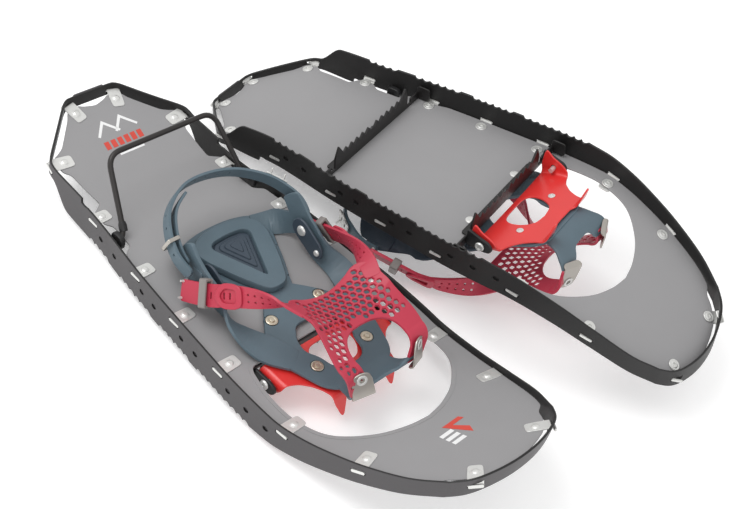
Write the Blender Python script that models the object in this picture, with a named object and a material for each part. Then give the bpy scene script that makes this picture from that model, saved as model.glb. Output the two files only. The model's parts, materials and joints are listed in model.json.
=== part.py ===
"""A pair of mountain snowshoes. One stands face up, the other lies upside down beside it.

Each shoe is built once, in its own frame: x across (positive on the wearer's right), y towards the nose
and z up, with z = 0 at the deck line. Empties place the shoes, and carry the pieces that move on pivots.
"""

import math

import bmesh
import bpy
from mathutils import Matrix, Vector

# Driving dimensions, in metres
BLADE_THICK = 0.0022
BLADE_TOP = 0.004
BLADE_DEPTH = 0.026
CREST_START = -0.221
CREST_END = -0.1815
CREST_HEIGHT = 0.004
TOOTH_PITCH = 0.0092
TOOTH_DEPTH = 0.0034
TEETH_START = -0.150
TEETH_END = 0.078
DECK_TOP = -0.0016
DECK_THICK = 0.0016
GAP = 0.0004
CLIP_WIDTH = 0.0125
CLIP_THICK = 0.0010
SLOT_LENGTH = 0.0150
SLOT_HEIGHT = 0.0040
SLOT_DROP = -0.0038
TAIL_RISE = 0.0200
TAIL_BEND = -0.150
NOSE_RISE = 0.056
NOSE_BEND = 0.100
PIVOT_Y = 0.062
PIVOT_Z = -0.009
BAIL_Y = -0.130
BAIL_Z = 0.0022
BAIL_REACH = 0.0710
BAIL_WIRE = 0.0026
SOCKET_THICK = 0.0050
PIN_RADIUS = 0.0024
BRACKET_X = 0.0690
STRAP_AXIS_Y = -0.050
STRAP_LEAN = 28.0
STRAP_THICK = 0.003

# Rest settings of the shoes, in degrees: binding heel lift, bail from lying flat back, heel strap swing
FACE_UP = {"name": "left", "heel_lift": 0.0, "bail": 48.0, "strap": 0.0, "pressed": False,
           "loop_half": 0.0690, "loop_depth": 0.0810, "strap_axis_z": 0.026}
FACE_DOWN = {"name": "right", "heel_lift": 14.0, "bail": 5.0, "strap": -47.0, "pressed": True,
             "loop_half": 0.0860, "loop_depth": 0.0720, "strap_axis_z": 0.018}

# The upside-down shoe beside the other one: its origin, then its turn in degrees about x, y and z
SECOND_ORIGIN = (-0.2134, 0.0135, 0.0431)
SECOND_TURN = (171.16, -5.08, -168.99)

# Rivet places of the deck clips, half of the shoe: x, y
CLIPS = (
    (0.0231, -0.2682),
    (0.0646, -0.2287),
    (0.0720, -0.1615),
    (0.0800, -0.0893),
    (0.0840, -0.0297),
    (0.0870, 0.0327),
    (0.0855, 0.1112),
    (0.0742, 0.1783),
    (0.0373, 0.2503),
)
GAPPED_CLIPS = 4
PRESS_FROM = 0.006
PRESS_DEPTH = 0.018
PRESS_SPLAY = 0.27
PRESS_BUCKLE = 0.0016
DECK_BENDS = (-0.255, -0.235, -0.212, -0.185, TAIL_BEND, NOSE_BEND, 0.125, 0.150, 0.178, 0.200, 0.222, 0.244)
SIDES = (("right", 1), ("left", -1))


def clear_scene():
    for obj in list(bpy.data.objects):
        bpy.data.objects.remove(obj)


def mm(x, y, z=0.0):
    return Vector((x, y, z)) / 1000


def material(name, colour, roughness, metallic=0.0):
    made = bpy.data.materials.new(name)
    made.use_nodes = True
    shader = made.node_tree.nodes["Principled BSDF"]
    shader.inputs["Base Color"].default_value = (*colour, 1)
    shader.inputs["Roughness"].default_value = roughness
    shader.inputs["Metallic"].default_value = metallic
    return made


def materials():
    return {
        "blade": material("blade_anodised", (0.060, 0.057, 0.058), 0.45, 0.7),
        "bar": material("crossbar_black", (0.012, 0.011, 0.011), 0.5, 0.4),
        "deck": material("deck_sheet", (0.33, 0.33, 0.33), 0.55),
        "steel": material("bright_steel", (0.75, 0.74, 0.72), 0.3, 1.0),
        "bracket": material("toe_bracket_steel", (0.40, 0.37, 0.34), 0.35, 1.0),
        "red_plate": material("crampon_red", (0.60, 0.03, 0.035), 0.35),
        "red_strap": material("mesh_strap_red", (0.50, 0.05, 0.085), 0.5),
        "cradle": material("cradle_blue_grey", (0.10, 0.145, 0.18), 0.5),
        "wire": material("bail_wire", (0.035, 0.03, 0.03), 0.4, 0.5),
        "plastic": material("black_plastic", (0.015, 0.015, 0.016), 0.5),
    }


def rise(y):
    """Height of the deck line: the tail and the nose curve up, the middle is flat."""
    if y < TAIL_BEND:
        return TAIL_RISE * ((TAIL_BEND - y) / 0.118) ** 2
    if y > NOSE_BEND:
        return NOSE_RISE * ((y - NOSE_BEND) / 0.150) ** 1.5
    return 0.0


def smooth_curve(points, steps):
    """Catmull-Rom curve through the points, with that many pieces for each span."""
    made = []
    ends = [points[0] * 2 - points[1], *points, points[-1] * 2 - points[-2]]
    for a, b, c, d in zip(ends, ends[1:], ends[2:], ends[3:]):
        for step in range(steps):
            t = step / steps
            bend = (2 * a - 5 * b + 4 * c - d) * t**2
            twist = (3 * b - a - 3 * c + d) * t**3
            made.append(0.5 * (2 * b + (c - a) * t + bend + twist))
    made.append(points[-1])
    return made


def mesh_object(name, bm, finish, parent):
    bmesh.ops.recalc_face_normals(bm, faces=bm.faces)
    mesh = bpy.data.meshes.new(name)
    bm.to_mesh(mesh)
    bm.free()
    mesh.materials.append(finish)
    made = bpy.data.objects.new(name, mesh)
    bpy.context.scene.collection.objects.link(made)
    made.parent = parent
    return made


def loft(bm, rings):
    """Closed solid through the rings of points, with a flat face at each end."""
    made = [[bm.verts.new(point) for point in ring] for ring in rings]
    for ring, following in zip(made, made[1:]):
        for i, vert in enumerate(ring):
            j = (i + 1) % len(ring)
            bm.faces.new((vert, ring[j], following[j], following[i]))
    bm.faces.new(made[0][::-1])
    bm.faces.new(made[-1])


def band(bm, path, across, width, thick):
    """Flat strap along the path. The across vectors give its width direction, one for all or one for each."""
    rings = []
    for i, point in enumerate(path):
        before = path[max(i - 1, 0)]
        after = path[min(i + 1, len(path) - 1)]
        along = (after - before).normalized()
        side = across[i] if isinstance(across, list) else across
        side = (side - along * side.dot(along)).normalized()
        up = along.cross(side)
        wide = width[i] if isinstance(width, list) else width
        half, flat = side * wide / 2, up * thick / 2
        rings.append([point + half + flat, point + half - flat, point - half - flat, point - half + flat])
    loft(bm, rings)


def tube(bm, path, radius, sides=6):
    """Round bar along the path."""
    rings = []
    side = (path[1] - path[0]).orthogonal().normalized()
    for i, point in enumerate(path):
        along = (path[min(i + 1, len(path) - 1)] - path[max(i - 1, 0)]).normalized()
        side = (side - along * side.dot(along)).normalized()
        up = along.cross(side)
        turn = [2 * math.pi * k / sides for k in range(sides)]
        rings.append([point + (side * math.cos(a) + up * math.sin(a)) * radius for a in turn])
    loft(bm, rings)


def turned(bm, profile, place, sides=8):
    """Solid turned about the local z axis of place. The profile gives (radius, height) from foot to top."""
    rings = []
    for radius, height in profile:
        turn = [2 * math.pi * k / sides for k in range(sides)]
        rings.append([place @ Vector((radius * math.cos(a), radius * math.sin(a), height)) for a in turn])
    loft(bm, rings)


def plate(bm, outline, thick, place, holes=()):
    """Flat plate: an outline in the local x-y plane of place, with holes, from z = 0 to z = thick."""
    loops = []
    edges = []
    flat = bmesh.new()
    for line in (outline, *holes):
        verts = [flat.verts.new((p[0], p[1], 0)) for p in line]
        edges += [flat.edges.new((verts[i], verts[(i + 1) % len(verts)])) for i in range(len(verts))]
        loops.append(verts)
    bmesh.ops.triangle_fill(flat, edges=edges, use_beauty=True)
    sheet_solid(
        bm,
        flat,
        lambda p: place @ Vector((p.x, p.y, thick)),
        lambda p: place @ Vector((p.x, p.y, 0)),
    )
    flat.free()


def sheet_solid(bm, flat, top_place, bottom_place):
    """Solid between two surfaces, which map each point of a flat triangulated sheet."""
    top = {vert: bm.verts.new(top_place(vert.co)) for vert in flat.verts}
    bottom = {vert: bm.verts.new(bottom_place(vert.co)) for vert in flat.verts}
    for face in flat.faces:
        bm.faces.new([top[vert] for vert in face.verts])
        bm.faces.new([bottom[vert] for vert in reversed(face.verts)])
    for edge in flat.edges:
        if len(edge.link_faces) == 1:
            a, b = edge.verts
            bm.faces.new((top[a], top[b], bottom[b], bottom[a]))


def circle(x, y, radius, sides=8):
    turn = [2 * math.pi * (k + 0.5) / sides for k in range(sides)]
    return [(x + radius * math.cos(a), y + radius * math.sin(a)) for a in turn]


def mirrored(half):
    """Closed outline from its right half, which runs from one point at x = 0 to another."""
    return list(half) + [(-p[0], p[1]) for p in reversed(half) if abs(p[0]) > 1e-6]


def union(name, pieces, finish, parent):
    """One object out of overlapping solids."""
    base = mesh_object(name, pieces[0], finish, parent)
    for k, piece in enumerate(pieces[1:]):
        tool = mesh_object(f"{name}_tool_{k}", piece, finish, parent)
        join_or_cut(base, tool, "UNION")
    return base


def join_or_cut(base, tool, operation):
    """Applies a Boolean and removes its tool."""
    modifier = base.modifiers.new(operation.lower(), "BOOLEAN")
    modifier.operation = operation
    modifier.solver = "EXACT"
    modifier.object = tool
    bpy.context.view_layer.update()
    graph = bpy.context.evaluated_depsgraph_get()
    result = bpy.data.meshes.new_from_object(base.evaluated_get(graph))
    base.modifiers.clear()
    base.data = result
    bpy.data.objects.remove(tool)


# Frame blade: half outline of its outer face, from the tail to the nose
SIDE_LINE = (
    mm(80.5, -226),
    mm(81, -195),
    mm(81.5, -165),
    mm(84.5, -135),
    mm(90, -95),
    mm(94.5, -50),
    mm(98.5, 5),
    mm(101.2, 50),
    mm(101, 95),
    mm(97.5, 130),
    mm(92.5, 160),
    mm(87, 188),
    mm(77.5, 222),
    mm(64, 247),
)
TAIL_LINE = (
    mm(0, -282),
    mm(22, -282),
    mm(28, -281),
    mm(33, -278),
    mm(38, -273.5),
    mm(72, -240.5),
    mm(77, -235),
    mm(79.5, -231),
)
NOSE_LINE = (mm(56, 255), mm(49, 259.5), mm(40, 263), mm(26, 266.5), mm(12, 268.5), mm(0, 269))


def side_points():
    """Places along the side: every tooth tip and valley, and wider steps before and after."""
    rear = [-0.226, CREST_START, -0.214, -0.207, -0.199, -0.190]
    rear += [CREST_END, CREST_END + 0.0008, -0.170, -0.160]
    count = round((TEETH_END - TEETH_START) / (TOOTH_PITCH / 2))
    teeth = [TEETH_START + k * TOOTH_PITCH / 2 for k in range(count + 1)]
    front = [0.090, 0.104, 0.118, 0.131, 0.144, 0.157, 0.170, 0.183, 0.196, 0.209]
    front += [0.221, 0.232, 0.241, 0.247]
    curve = smooth_curve([Vector(p) for p in SIDE_LINE], 8)
    made = []
    for y in rear + teeth + front:
        for a, b in zip(curve, curve[1:]):
            if a.y <= y <= b.y + 1e-6:
                share = (y - a.y) / (b.y - a.y)
                made.append(Vector((a.x + (b.x - a.x) * share, y, 0)))
                break
    return made


def blade_top(y):
    """Top edge above the deck line. Behind the third clip it climbs to a crest, which ends in a step."""
    if CREST_START <= y <= CREST_END:
        return BLADE_TOP + CREST_HEIGHT * (y - CREST_START) / (CREST_END - CREST_START)
    return BLADE_TOP


def blade_bottom(y, index):
    """Bottom edge below the deck line: shallow at the tail and the nose, toothed along the middle."""
    if y < -0.225:
        return -0.009
    if y < -0.190:
        return -0.009 - 0.017 * min(1, (y + 0.225) / 0.026)
    if y > TEETH_END + 0.001:
        shrink = min(1, (y - TEETH_END) / 0.150)
        return -BLADE_DEPTH + 0.011 * shrink**0.8
    if y < TEETH_START - 0.001:
        return -BLADE_DEPTH
    return -BLADE_DEPTH + (TOOTH_DEPTH if index % 2 else 0)


def frame_outline():
    """Outer face of the blade, all round, with the side's tooth numbers."""
    tail = [(p, 0) for p in TAIL_LINE]
    side = [(p, k) for k, p in enumerate(side_points())]
    nose = [(p, 0) for p in NOSE_LINE]
    half = tail + side + nose
    other = [(Vector((-p.x, p.y, 0)), k) for p, k in reversed(half) if p.x > 1e-6]
    return half + other


def outward(points, i):
    along = points[(i + 1) % len(points)] - points[i - 1]
    return Vector((along.y, -along.x, 0)).normalized()


def frame_half_width(y):
    """Outer face's distance from the middle line, between the tail corner and the nose."""
    points = side_points()
    for a, b in zip(points, points[1:]):
        if a.y <= y <= b.y:
            return a.x + (b.x - a.x) * (y - a.y) / (b.y - a.y)
    return points[-1].x


def clip_frames():
    """Place of each deck clip: its local x runs outward through the frame, with the rivet at its origin."""
    made = []
    for number, (x, y) in enumerate(CLIPS):
        for side in (1, -1):
            if number == 0:
                out = Vector((side * 0.25, -1, 0)).normalized()
            elif number == 1:
                out = Vector((side, -0.12, 0)).normalized()
            elif number == len(CLIPS) - 1:
                out = Vector((side * 0.80, 0.60, 0)).normalized()
            elif number == len(CLIPS) - 2:
                out = Vector((side, 0.24, 0)).normalized()
            else:
                out = Vector((side, 0, 0))
            slope = (rise(y + 0.004) - rise(y - 0.004)) / 0.008
            ahead = Vector((0, 1, slope)).normalized()
            out3 = Vector((out.x, out.y, out.y * slope)).normalized()
            up = Vector((0, -ahead.z, ahead.y))
            along = up.cross(out3).normalized()
            up = out3.cross(along)
            origin = Vector((side * x, y, rise(y)))
            made.append(Matrix((
                (out3.x, along.x, up.x, origin.x),
                (out3.y, along.y, up.y, origin.y),
                (out3.z, along.z, up.z, origin.z),
                (0, 0, 0, 1),
            )))
    return made


def reach_to_blade(place):
    """Distance from a clip's rivet, along its local x, to the blade's outer face."""
    points = [p for p, _ in frame_outline()]
    start = place.translation.to_2d()
    way = place.col[0].to_2d()
    best = 1.0
    for i, a in enumerate(points):
        b = points[(i + 1) % len(points)]
        line = (b - a).to_2d()
        cross = way.x * line.y - way.y * line.x
        if abs(cross) < 1e-12:
            continue
        gap = a.to_2d() - start
        t = (gap.x * line.y - gap.y * line.x) / cross
        s = (gap.x * way.y - gap.y * way.x) / cross
        if t > 0 and -1e-9 <= s <= 1 + 1e-9:
            best = min(best, t)
    return best


def build_frame(parent, finish):
    bm = bmesh.new()
    outline = frame_outline()
    points = [p for p, _ in outline]
    rings = []
    for i, (point, index) in enumerate(outline):
        out = outward(points, i)
        inner = point - out * BLADE_THICK
        base = rise(point.y)
        high = base + blade_top(point.y)
        low = base + blade_bottom(point.y, index)
        rings.append([
            bm.verts.new((point.x, point.y, high)),
            bm.verts.new((point.x, point.y, low)),
            bm.verts.new((inner.x, inner.y, low)),
            bm.verts.new((inner.x, inner.y, high)),
        ])
    for i, ring in enumerate(rings):
        following = rings[(i + 1) % len(rings)]
        for k in range(4):
            j = (k + 1) % 4
            bm.faces.new((ring[k], ring[j], following[j], following[k]))
    base = mesh_object("frame", bm, finish, parent)
    cutters = bmesh.new()
    for place in clip_frames():
        reach = reach_to_blade(place)
        corners = []
        for x in (reach - 0.0095, reach + 0.005):
            for y, z in ((-1, -1), (1, -1), (1, 1), (-1, 1)):
                local = Vector((x, y * SLOT_LENGTH / 2, SLOT_DROP + z * SLOT_HEIGHT / 2))
                corners.append(place @ local)
        loft(cutters, [corners[:4], corners[4:]])
    join_or_cut(base, mesh_object("slot_cutters", cutters, finish, parent), "DIFFERENCE")
    return base


def build_splice(parent, finish):
    """Plate that joins the ends of the blade, lapped on its outer face at the tail."""
    bm = bmesh.new()
    y = -0.282 - GAP
    path = [mm(-17, 0), mm(17, 0)]
    path = [Vector((p.x, y - 0.0009, rise(y) - 0.0022)) for p in path]
    band(bm, path, Vector((0, 0, 1)), 0.0105, 0.0018)
    return mesh_object("tail_splice", bm, finish, parent)


def deck_edge():
    """Right half of the deck's outline, from the tail to the nose. It is set in between the rear clips."""
    def beside(y, inset):
        return (frame_half_width(y) - BLADE_THICK - inset, y)

    half = [(0, -0.2700), (0.0125, -0.2730), (0.0165, -0.2755), (0.0300, -0.2735), (0.0345, -0.2665)]
    half += [(0.0570, -0.2430), (0.0640, -0.2390), (0.0715, -0.2360), (0.0725, -0.2210), (0.0690, -0.2160)]
    half += [(0.0665, -0.1750), (0.0720, -0.1700), beside(-0.1690, 0.0075), beside(-0.1530, 0.0075)]
    half += [(0.0720, -0.1470), (0.0738, -0.1130), (0.0775, -0.1010)]
    half += [beside(-0.0975, 0.0075), beside(-0.0805, 0.0075)]
    for number in range(GAPPED_CLIPS, len(CLIPS) - 1):
        y = CLIPS[number][1]
        for step in (-0.0085, 0.0085):
            edge, notch = beside(y + step, 0.0010), beside(y + step, 0.0075)
            half += [edge, notch] if step < 0 else [notch, edge]
        if number < len(CLIPS) - 2:
            following = CLIPS[number + 1][1]
            half.append(beside((y + following) / 2, 0.0010))
    half += [beside(0.2000, 0.0012), beside(0.2150, 0.0014), beside(0.2270, 0.0016), beside(0.2360, 0.0020)]
    half += [(0.0570, 0.2400), (0.0510, 0.2480), (0.0430, 0.2545), (0.0350, 0.2590)]
    half += [(0.0225, 0.2622), (0.0110, 0.2642), (0, 0.2650)]
    return half


def toe_opening():
    """Right half of the D-shaped toe opening."""
    bow = [mm(77, 52), mm(82, 77), mm(81.5, 107), mm(73, 139), mm(48, 162.5), mm(22, 174), mm(0, 178)]
    rear = [(0, 0.0450), (0.0700, 0.0450), (0.0745, 0.0470)]
    return rear + [(max(p.x, 0.0), p.y) for p in smooth_curve(bow, 3)]


def build_deck(parent, finish):
    """Deck sheet with its riveted clips joined to it: folded steel tabs, rivet heads and washers."""
    flat = bmesh.new()
    edges = []
    for line in (mirrored(deck_edge()), mirrored(toe_opening())):
        verts = [flat.verts.new((x, y, 0)) for x, y in line]
        edges += [flat.edges.new((verts[i], verts[(i + 1) % len(verts)])) for i in range(len(verts))]
    bmesh.ops.triangle_fill(flat, edges=edges, use_beauty=True)
    for y in DECK_BENDS:
        geometry = flat.verts[:] + flat.edges[:] + flat.faces[:]
        bmesh.ops.bisect_plane(flat, geom=geometry, dist=1e-5, plane_co=(0, y, 0), plane_no=(0, 1, 0))
    bmesh.ops.triangulate(flat, faces=flat.faces)
    bm = bmesh.new()
    sheet_solid(
        bm,
        flat,
        lambda p: Vector((p.x, p.y, rise(p.y) + DECK_TOP)),
        lambda p: Vector((p.x, p.y, rise(p.y) + DECK_TOP - DECK_THICK)),
    )
    flat.free()
    base = mesh_object("deck", bm, finish, parent)
    tools = bmesh.new()
    for place in clip_frames():
        add_clip(tools, place)
    join_or_cut(base, mesh_object("clip_tools", tools, finish, parent), "UNION")
    rivets = bmesh.new()
    for place in clip_frames():
        add_rivet(rivets, place)
    join_or_cut(base, mesh_object("rivet_tools", rivets, finish, parent), "UNION")
    return base


def add_clip(bm, place):
    """Folded tab: flat on the deck under the rivet, then stepped down and out through the blade's slot."""
    reach = reach_to_blade(place)
    sit = DECK_TOP + CLIP_THICK * 0.36
    line = [(-0.0075, sit), (0.0050, sit), (0.0084, SLOT_DROP), (reach + 0.0006, SLOT_DROP)]
    path = [place @ Vector((x, 0, z)) for x, z in line]
    across = place.col[1].to_3d()
    band(bm, path, across, [CLIP_WIDTH * 0.8, CLIP_WIDTH, CLIP_WIDTH, CLIP_WIDTH], CLIP_THICK)


def add_rivet(bm, place):
    """Rivet through clip and deck: a low dome above, a round washer below."""
    foot = DECK_TOP + CLIP_THICK * 0.8
    low = DECK_TOP - DECK_THICK
    profile = [(0.0054, low - 0.0010), (0.0040, low + 0.0005), (0.0042, foot), (0.0020, foot + 0.0013)]
    turned(bm, profile, place, 7)


def bar_outline(half_length):
    """Half outline of a crossbar in x and z: small saw teeth, and a long pointed tooth near each end."""
    top = DECK_TOP - DECK_THICK - GAP
    peg = 0.057
    half = [(0, top), (half_length, top), (half_length, -0.0120), (0.0690, -0.0120), (0.0690, -0.0062)]
    half += [(0.0622, -0.0062), (0.0622, -0.0180), (peg, -0.0305)]
    half += [(peg - 0.0085, -0.0180)]
    for k in range(5, 0, -1):
        x = k * 0.0092 - 0.002
        half += [(x, -0.0225), (x - 0.0042, -0.0165)]
    half += [(0.0, -0.0190)]
    return half


def upright(y, thick):
    """Turns an outline drawn in x and y into one in x and z, centred on that y."""
    return Matrix(((1, 0, 0, 0), (0, 0, -1, y + thick / 2), (0, 1, 0, 0), (0, 0, 0, 1)))


def build_crossbar(name, y, half_length, parent, finish):
    thick = 0.0020
    blade = bmesh.new()
    plate(blade, mirrored(bar_outline(half_length)), thick, upright(y, thick))
    pieces = [blade]
    for side in (1, -1):
        foot = bmesh.new()
        x = side * (half_length - 0.0009)
        path = [Vector((x, y - 0.0009, -0.0118)), Vector((x + side * 0.0004, y + 0.0140, -0.0118))]
        band(foot, path, Vector((0, 0, 1)), 0.0140, 0.0018)
        pieces.append(foot)
    return union(name, pieces, finish, parent)


def lengthwise(x, side=1):
    """Turns an outline drawn in y and z (as x and y of the plate) into an upright plate at that x."""
    return Matrix(((0, 0, side, x), (1, 0, 0, 0), (0, 1, 0, 0), (0, 0, 0, 1)))


def build_pivot_bracket(side, parent, finish):
    """Cheek plate at the end of the front crossbar, which holds the binding's pivot pin."""
    bm = bmesh.new()
    outline = [(0.0476, -0.0040), (0.0640, -0.0036), (0.0715, -0.0050), (0.0740, -0.0100)]
    outline += [(0.0700, -0.0150), (0.0600, -0.0175), (0.0476, -0.0215)]
    hole = circle(PIVOT_Y, PIVOT_Z, PIN_RADIUS + GAP)
    plate(bm, outline, 0.0030, lengthwise(side * BRACKET_X, side), [hole])
    return mesh_object("pivot_bracket", bm, finish, parent)


def build_pivot_pin(side, parent, finish):
    bm = bmesh.new()
    turn = Matrix.Rotation(math.radians(90 * side), 4, "Y")
    place = Matrix.Translation((0, PIVOT_Y, PIVOT_Z)) @ turn
    head = BRACKET_X + 0.0030 + GAP
    turned(bm, [(PIN_RADIUS, 0.0600), (PIN_RADIUS, head), (0.0046, head), (0.0040, head + 0.0018)], place)
    return mesh_object("pivot_pin", bm, finish, parent)


def build_bail_socket(side, parent, finish):
    """Block inside the blade that holds one end of the heel-lift bail."""
    bm = bmesh.new()
    outline = [(BAIL_Y - 0.014, 0.0020), (BAIL_Y - 0.008, 0.0070), (BAIL_Y + 0.008, 0.0070)]
    outline += [(BAIL_Y + 0.014, 0.0010), (BAIL_Y + 0.014, -0.0100), (BAIL_Y - 0.014, -0.0100)]
    hole = circle(BAIL_Y, BAIL_Z, BAIL_WIRE + GAP)
    outer = frame_half_width(BAIL_Y - 0.014) - BLADE_THICK - GAP
    plate(bm, outline, SOCKET_THICK, lengthwise(side * (outer - SOCKET_THICK), side), [hole])
    return mesh_object("bail_socket", bm, finish, parent)


def spike_ring(ends, rear, front):
    """Four corners of a spike's section, from its two x ends and its rear and front faces' y and z."""
    near, far = ends
    return [Vector((near, *rear)), Vector((far, *rear)), Vector((far, *front)), Vector((near, *front))]


def build_crampon(parent, finish):
    """Formed plate in the toe opening: windowed body, side cheeks on the pivot pins, spikes bent down."""
    thick = 0.0018
    low = -0.0032
    body = bmesh.new()
    half = [(0, 0.1000), (0.0180, 0.1010), (0.0230, 0.1070), (0.0370, 0.1070), (0.0420, 0.0940)]
    half += [(0.0560, 0.0800), (0.0662, 0.0760), (0.0662, 0.0500), (0.0500, 0.0530), (0.0300, 0.0575)]
    half += [(0.0120, 0.0560), (0, 0.0545)]
    window = [(0, 0.0610), (0.0140, 0.0640), (0.0160, 0.0760), (0.0110, 0.0880), (0, 0.0910)]
    plate(body, mirrored(half), thick, Matrix.Translation((0, 0, low)), [mirrored(window)])
    pieces = [body]
    for side in (1, -1):
        cheek = bmesh.new()
        line = [(0.0700, -0.0016), (0.0500, -0.0016), (0.0485, -0.0080), (0.0500, -0.0150), (0.0560, -0.0285)]
        line += [(0.0620, -0.0170), (0.0690, -0.0155), (0.0750, -0.0100), (0.0780, -0.0016)]
        hole = circle(PIVOT_Y, PIVOT_Z, 0.0032)
        plate(cheek, line, thick, lengthwise(side * 0.0645, side), [hole])
        pieces.append(cheek)
        spike = bmesh.new()
        wide = (side * 0.0235, side * 0.0365)
        narrow = (side * 0.0285, side * 0.0315)
        base = spike_ring(wide, (0.1040, low + 0.0001), (0.1040, low + 0.0017))
        bend = spike_ring(wide, (0.1100, low - 0.0022), (0.1112, low - 0.0008))
        tip = spike_ring(narrow, (0.1185, -0.0200), (0.1200, -0.0200))
        loft(spike, [base, bend, tip])
        pieces.append(spike)
    return union("crampon", pieces, finish, parent)


def build_cradle(parent, finish):
    """Flexible base of the binding: toe plate with a raised toe, heel plate, and arms up to the ears."""
    thick = 0.0032
    toe = bmesh.new()
    half = [(0, 0.1080), (0.0300, 0.1080), (0.0400, 0.0980), (0.0520, 0.0640), (0.0560, 0.0440)]
    half += [(0.0420, 0.0260), (0.0260, 0.0060), (0.0120, -0.0080), (0, -0.0120)]
    plate(toe, mirrored(half), thick, Matrix.Translation((0, 0, 0.0005)))
    heel = bmesh.new()
    half = [(0, 0.0020), (0.0140, 0.0020), (0.0300, -0.0300), (0.0460, -0.0640), (0.0490, -0.0780)]
    half += [(0.0420, -0.0900), (0.0200, -0.0960), (0, -0.0970)]
    plate(heel, mirrored(half), thick, Matrix.Translation((0, 0, 0.0004)))
    pieces = [toe, heel]
    lip = bmesh.new()
    path = [mm(0, 104, 2.2), mm(0, 116, 4.5), mm(0, 127, 10), mm(0, 134, 18), mm(0, 137, 28)]
    band(lip, path, Vector((1, 0, 0)), [0.060, 0.062, 0.060, 0.056, 0.044], thick)
    pieces.append(lip)
    for side in (1, -1):
        arm = bmesh.new()
        route = [mm(side * 46, 62, 2.2), mm(side * 60, 36, 4.2), mm(side * 65, 8, 7.2)]
        route += [mm(side * 59.6, -16, 12), mm(side * 60.5, -38, 22), mm(side * 61, -52, 32)]
        route.append(mm(side * 60, -64, 43))
        flat = Vector((side, 0.4, 0.0))
        steep = Vector((side * 0.1, 0.35, 0.95))
        across = [flat, flat, Vector((side * 0.8, 0.4, 0.5)), Vector((side * 0.15, 0.3, 0.9))]
        across += [steep, steep, Vector((side * 0.15, 0.7, 0.7))]
        band(arm, route, across, [0.030, 0.028, 0.025, 0.021, 0.026, 0.022, 0.018], thick)
        pieces.append(arm)
        stay = bmesh.new()
        route = [mm(side * 36, -78, 2.2), mm(side * 49, -73, 4.6), mm(side * 57, -63, 10)]
        route += [mm(side * 60.5, -50, 17), mm(side * 62.4, -36, 21)]
        level = Vector((0.2 * side, -1, 0.05))
        across = [level, level, Vector((0, -0.8, 0.7)), Vector((0, -0.5, 0.9)), Vector((0, -0.2, 1))]
        band(stay, route, across, [0.024, 0.024, 0.022, 0.020, 0.018], thick * 0.9)
        pieces.append(stay)
    return union("cradle", pieces, finish, parent)


def build_heel_pad(parent, finish):
    """Raised tread that the boot's heel stands on."""
    bm = bmesh.new()
    half = [(0, -0.0040), (0.0105, -0.0060), (0.0250, -0.0330), (0.0370, -0.0620), (0.0375, -0.0720)]
    half += [(0.0330, -0.0820), (0.0180, -0.0890), (0, -0.0900)]
    plate(bm, mirrored(half), 0.0070, Matrix.Translation((0, 0, 0.0004 + 0.0032 + GAP)))
    return mesh_object("heel_pad", bm, finish, parent)


def build_cradle_rivet(side, parent, finish):
    """Rivet with its washer, which holds the cradle on the crampon."""
    bm = bmesh.new()
    place = Matrix.Translation((side * 0.0300, 0.0790, 0.0037 + GAP))
    turned(bm, [(0.0062, 0), (0.0058, 0.0010), (0.0036, 0.0012), (0.0026, 0.0022)], place)
    return mesh_object("cradle_rivet", bm, finish, parent)


def build_toe_bracket(side, parent, finish):
    """Upright steel tab that carries one front arm of the mesh strap."""
    bm = bmesh.new()
    outline = [(-0.0100, 0), (0.0100, 0), (0.0100, 0.0200), (0.0072, 0.0270), (0, 0.0300)]
    outline += [(-0.0072, 0.0270), (-0.0100, 0.0200)]
    foot = Vector((side * 0.0320, 0.1420, 0.0140))
    up = Vector((side * 0.12, -0.28, 0.95)).normalized()
    across = Vector((1, side * -0.42, 0)).normalized()
    across = (across - up * across.dot(up)).normalized()
    ahead = across.cross(up)
    place = Matrix((
        (across.x, up.x, ahead.x, foot.x),
        (across.y, up.y, ahead.y, foot.y),
        (across.z, up.z, ahead.z, foot.z),
        (0, 0, 0, 1),
    ))
    plate(bm, outline, 0.0015, place)
    return mesh_object("toe_bracket", bm, finish, parent)


def strap_height(x, y):
    """Height of the mesh strap: low over the middle, higher at its arms, falling to the ears."""
    middle = 0.049 - 0.006 * min(1, abs(y - 0.074) / 0.045)
    spread = 0.012 * (min(abs(x), 0.055) / 0.042) ** 2
    fall = 0.90 * max(0.0, 0.030 - y)
    return middle + spread * min(1, max(0.0, (0.120 - y) / 0.050)) - fall


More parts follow.
